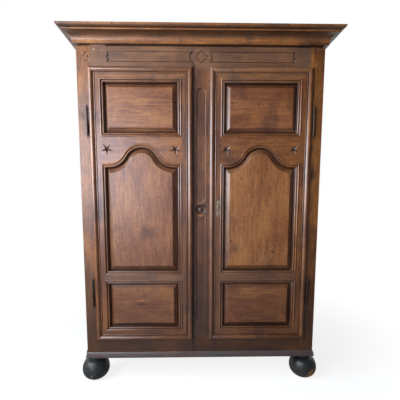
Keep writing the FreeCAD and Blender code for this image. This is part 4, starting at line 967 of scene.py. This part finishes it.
class CUPBOARD_OT_mouldings(bpy.types.Operator):
    """Cornice and base moulding"""

    bl_idname = "cupboard.mouldings"
    bl_label = "Mouldings"

    def execute(self, context):
        width = settings(context).wood.arris
        low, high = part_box("base_moulding_front")
        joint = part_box("right_front_post")[0].x + 3 * MM
        half = 0.5 * MM
        cracks = [
            box_shape([((x - half, low.y - 5 * MM, low.z - MM), (x + half, high.y - 3 * MM, high.z + MM))])
            for x in (-joint, joint)
        ]
        dress("base_moulding_front", "x", width, cracks, low.y, bloom=0.8)
        dress("cornice_front", "x", width)
        for side in ("left", "right"):
            dress(f"cornice_{side}", "y", width)
            dress(f"base_moulding_{side}", "y", width, bloom=0.8)
        return {"FINISHED"}


class CUPBOARD_OT_feet(bpy.types.Operator):
    """Turned ball feet"""

    bl_idname = "cupboard.feet"
    bl_label = "Ball feet"

    def execute(self, context):
        for node in sides("foot"):
            dress(node, "z", 0)
        return {"FINISHED"}


class CUPBOARD_OT_doors(bpy.types.Operator):
    """Door frames with their carved stars, and the raised panels"""

    bl_idname = "cupboard.doors"
    bl_label = "Doors"

    def execute(self, context):
        width = settings(context).wood.arris
        carving = settings(context).carving
        for side, turn in (("left", -1), ("right", 1)):
            door = f"{side}_door"
            # The blooms on the door rails stand in for painted sheen.
            for name, along, bloom in (
                ("hinge_stile", "z", 0), ("meeting_stile", "z", 0.15), ("top_rail", "x", 0.25),
                ("lower_rail", "x", 0.3), ("bottom_rail", "x", 0),
            ):
                dress(f"{door}_{name}", along, width, bloom=bloom)
            middle = turn * DOOR_MIDDLE
            centres = [Vector((middle + hand * carving.star_offset, FLAT_Y, STAR_Z)) for hand in (-1, 1)]
            stars = [star_cutter(centre, carving.star_radius, carving.star_depth) for centre in centres]
            dress(f"{door}_arched_rail", "x", width, stars, FLAT_Y, cut_dirt_and_shade=0.12)
            dress(f"{door}_upper_panel", "x", width)
            dress(f"{door}_lower_panel", "x", width)
            dress(f"{door}_arched_panel", "z", 0)
        return {"FINISHED"}


class CUPBOARD_OT_inside(bpy.types.Operator):
    """Boards of the back, floor, shelves and top"""

    bl_idname = "cupboard.inside"
    bl_label = "Inside"

    COUNTS = {"back_boards": 6, "floor_boards": 3, "lower_shelf": 3, "upper_shelf": 3, "top_boards": 3}

    def execute(self, context):
        width = 1.2 * settings(context).wood.arris
        for node in self.COUNTS:
            finish_node(node, box_shape(self.boards(node)), "z" if node == "back_boards" else "x", width)
        dress("back_rails", "x", width)
        dress("shelf_bearers", "y", width)
        return {"FINISHED"}

    @classmethod
    def boards(cls, node):
        """Lowest and highest corners of boards that lie a hair apart."""
        low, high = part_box(node)
        axis = 0 if node == "back_boards" else 1
        count = cls.COUNTS[node]
        gap = 0.4 * MM
        step = (high[axis] - low[axis]) / count
        for index in range(count):
            start, end = low.copy(), high.copy()
            start[axis] = low[axis] + index * step + (gap if index else 0)
            end[axis] = low[axis] + (index + 1) * step - (gap if index < count - 1 else 0)
            yield start, end


class CUPBOARD_OT_ironwork(bpy.types.Operator):
    """Hinges, lock, bolts, key and its plate"""

    bl_idname = "cupboard.ironwork"
    bl_label = "Ironwork"

    def execute(self, context):
        width = 0.5 * settings(context).wood.arris
        fiches = (*sides("post_fiches"), *sides("door_fiches"))
        for node in (*fiches, "bolt_staples", "lock_case", "key", "lock_bolt", "door_bolt"):
            dress(node, "z", width)
        dress("escutcheon", "z", width, self.piercings(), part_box("escutcheon")[0].y)
        return {"FINISHED"}

    @staticmethod
    def piercings():
        """Round cutters that leave a chain of scrolls on the key's plate."""
        low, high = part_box("escutcheon")
        middle = (low + high) / 2
        half = (high.x - low.x) / 2
        depth = 0.8 * (high.y - low.y)
        holes = [(0, 10 * MM, 5.5 * MM)]
        for rise, turn in ((-38, 1), (-27, -1), (-14, 1), (23, -1), (34, 1)):
            holes += [(turn * 2.2 * MM, rise * MM, 4.3 * MM), (-turn * half, (rise + 4) * MM, 4 * MM)]
        return [
            drill_cutter(Vector((middle.x + x, low.y - MM, middle.z + z)), radius, depth + MM)
            for x, z, radius in holes
        ]


def head_tree(name, material):
    """Geometry nodes that put a tapered, slightly turned head on every point of a mesh."""
    tree = bpy.data.node_groups.new(name, "GeometryNodeTree")
    for label, kind in (
        ("Points", "Geometry"), ("Radius", "Float"), ("Top", "Float"), ("Depth", "Float"), ("Sides", "Int"),
        ("Facing", "Rotation"), ("Seed", "Int"),
    ):
        tree.interface.new_socket(label, in_out="INPUT", socket_type=f"NodeSocket{kind}")
    tree.interface.new_socket("Heads", in_out="OUTPUT", socket_type="NodeSocketGeometry")

    def add(kind, sockets, **node_settings):
        """The outputs of a new node, whose sockets take an output or a plain value."""
        node = tree.nodes.new(kind)
        for key, setting in node_settings.items():
            setattr(node, key, setting)
        for key, item in sockets.items():
            if isinstance(item, bpy.types.NodeSocket):
                tree.links.new(item, node.inputs[key])
            else:
                node.inputs[key].default_value = item
        return node.outputs

    lean, smallest = 0.05, 0.85
    given = add("NodeGroupInput", {})
    head = add("GeometryNodeMeshCone", {
        "Vertices": given["Sides"], "Radius Top": given["Top"], "Radius Bottom": given["Radius"],
        "Depth": given["Depth"],
    }, fill_type="NGON")
    turn = add("FunctionNodeRandomValue", {
        0: (-lean, -lean, 0), 1: (lean, lean, math.tau), "Seed": given["Seed"],
    }, data_type="FLOAT_VECTOR")
    turn = add("FunctionNodeEulerToRotation", {0: turn[0]})
    both = add("FunctionNodeRotateRotation", {0: given["Facing"], 1: turn[0]}, rotation_space="LOCAL")
    swell = add("FunctionNodeRandomValue", {2: smallest, 3: 1.0, "Seed": given["Seed"]}, data_type="FLOAT")
    placed = add("GeometryNodeInstanceOnPoints", {
        "Points": given["Points"], "Instance": head["Mesh"], "Rotation": both[0], "Scale": swell[1],
    })
    real = add("GeometryNodeRealizeInstances", {0: placed[0]})
    dressed = add("GeometryNodeSetMaterial", {"Geometry": real[0], "Material": material})
    add("NodeGroupOutput", {0: dressed[0]})
    return tree


def heads(name, points, material, values):
    """Heads on points, as the corners of a plain mesh."""
    mesh = bpy.data.meshes.new(name)
    mesh.from_pydata(points, [], [])
    carrier = bpy.data.objects.new(name, mesh)
    bpy.context.scene.collection.objects.link(carrier)
    tree = head_tree(name, material)
    maker = carrier.modifiers.new("heads", "NODES")
    maker.node_group = tree
    for item in tree.interface.items_tree:
        if item.item_type == "SOCKET" and item.in_out == "INPUT" and item.name in values:
            maker[item.identifier] = values[item.name]
    shape = plain_shape(carrier)
    carrier.modifiers.remove(maker)
    bpy.data.objects.remove(carrier)
    bpy.data.node_groups.remove(tree)
    return shape


def middles(node):
    """Middles of the separate solids of a CAD node."""
    shape = node_shape(node)
    found = []
    for corners in islands(shape):
        low, high = extent(corners)
        found.append((low + high) / 2)
    shape.free()
    return found


class CUPBOARD_OT_pegs(bpy.types.Operator):
    """Pegs of the front frame, and nails of the back and top boards"""

    bl_idname = "cupboard.pegs"
    bl_label = "Pegs and nails"

    def execute(self, context):
        iron = settings(context).iron
        low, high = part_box("frame_pegs")
        ends = [(middle.x, high.y, middle.z) for middle in middles("frame_pegs")]
        shape = heads("pegs", ends, finish_of("case_wood"), {
            "Radius": iron.peg_radius, "Top": 0.94 * iron.peg_radius, "Depth": high.y - low.y, "Sides": 9,
            "Facing": (math.pi / 2, 0, 0), "Seed": iron.seed,
        })
        finish_node("frame_pegs", shape, "y", 0.4 * MM)
        back, top = self.nail_places()
        for name, points, facing in (("back_nails", back, -math.pi / 2), ("top_nails", top, 0)):
            shape = heads(name, points, finish_of("hinge_iron"), {
                "Radius": iron.nail_radius, "Top": 0.7 * iron.nail_radius, "Depth": 1.1 * MM, "Sides": 8,
                "Facing": (facing, 0, 0), "Seed": iron.seed + 1,
            })
            finish_piece(name, shape, "carcass", "hinge_iron", "y", 0)
        return {"FINISHED"}

    @staticmethod
    def nail_places():
        """Two nails at each end of a board, and where a back board crosses the middle rail."""
        chance = random.Random("nails")
        back = []
        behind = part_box("back_boards")[1].y - 0.1 * MM
        for low, high in CUPBOARD_OT_inside.boards("back_boards"):
            for rail in middles("back_rails"):
                for share in (0.22, 0.78):
                    x = low.x + share * (high.x - low.x) + chance.uniform(-9, 9) * MM
                    back.append((x, behind, rail.z + chance.uniform(-9, 9) * MM))
        top = []
        for low, high in CUPBOARD_OT_inside.boards("top_boards"):
            for x in (low.x + 24 * MM, high.x - 24 * MM):
                for share in (0.24, 0.76):
                    y = low.y + share * (high.y - low.y) + chance.uniform(-8, 8) * MM
                    top.append((x + chance.uniform(-4, 4) * MM, y, high.z - 0.1 * MM))
        return back, top


class CUPBOARD_PT_panel(bpy.types.Panel):
    """Lists the steps that finish the cupboard, and what may be changed"""

    bl_idname = "CUPBOARD_PT_panel"
    bl_label = "Cupboard"
    bl_space_type = "VIEW_3D"
    bl_region_type = "UI"
    bl_category = "Cupboard"

    def draw(self, context):
        for step in STEPS:
            self.layout.operator(step.bl_idname)
        for group in ("wood", "carving", "iron", "stage"):
            box = self.layout.box()
            values = getattr(settings(context), group)
            for name in values.__annotations__:
                box.prop(values, name)


STEPS = (
    CUPBOARD_OT_stage, CUPBOARD_OT_case, CUPBOARD_OT_mouldings, CUPBOARD_OT_feet, CUPBOARD_OT_doors,
    CUPBOARD_OT_inside, CUPBOARD_OT_ironwork, CUPBOARD_OT_pegs,
)
CLASSES = (
    CupboardWood, CupboardCarving, CupboardIron, CupboardStage, CupboardSettings, *STEPS, CUPBOARD_PT_panel,
)


def register():
    for entry in CLASSES:
        bpy.utils.register_class(entry)
    bpy.types.Scene.cupboard = PointerProperty(type=CupboardSettings)


def unregister():
    del bpy.types.Scene.cupboard
    for entry in reversed(CLASSES):
        bpy.utils.unregister_class(entry)


def main():
    register()
    for step in STEPS:
        group, name = step.bl_idname.split(".")
        getattr(getattr(bpy.ops, group), name)()


if __name__ == "__main__":
    main()
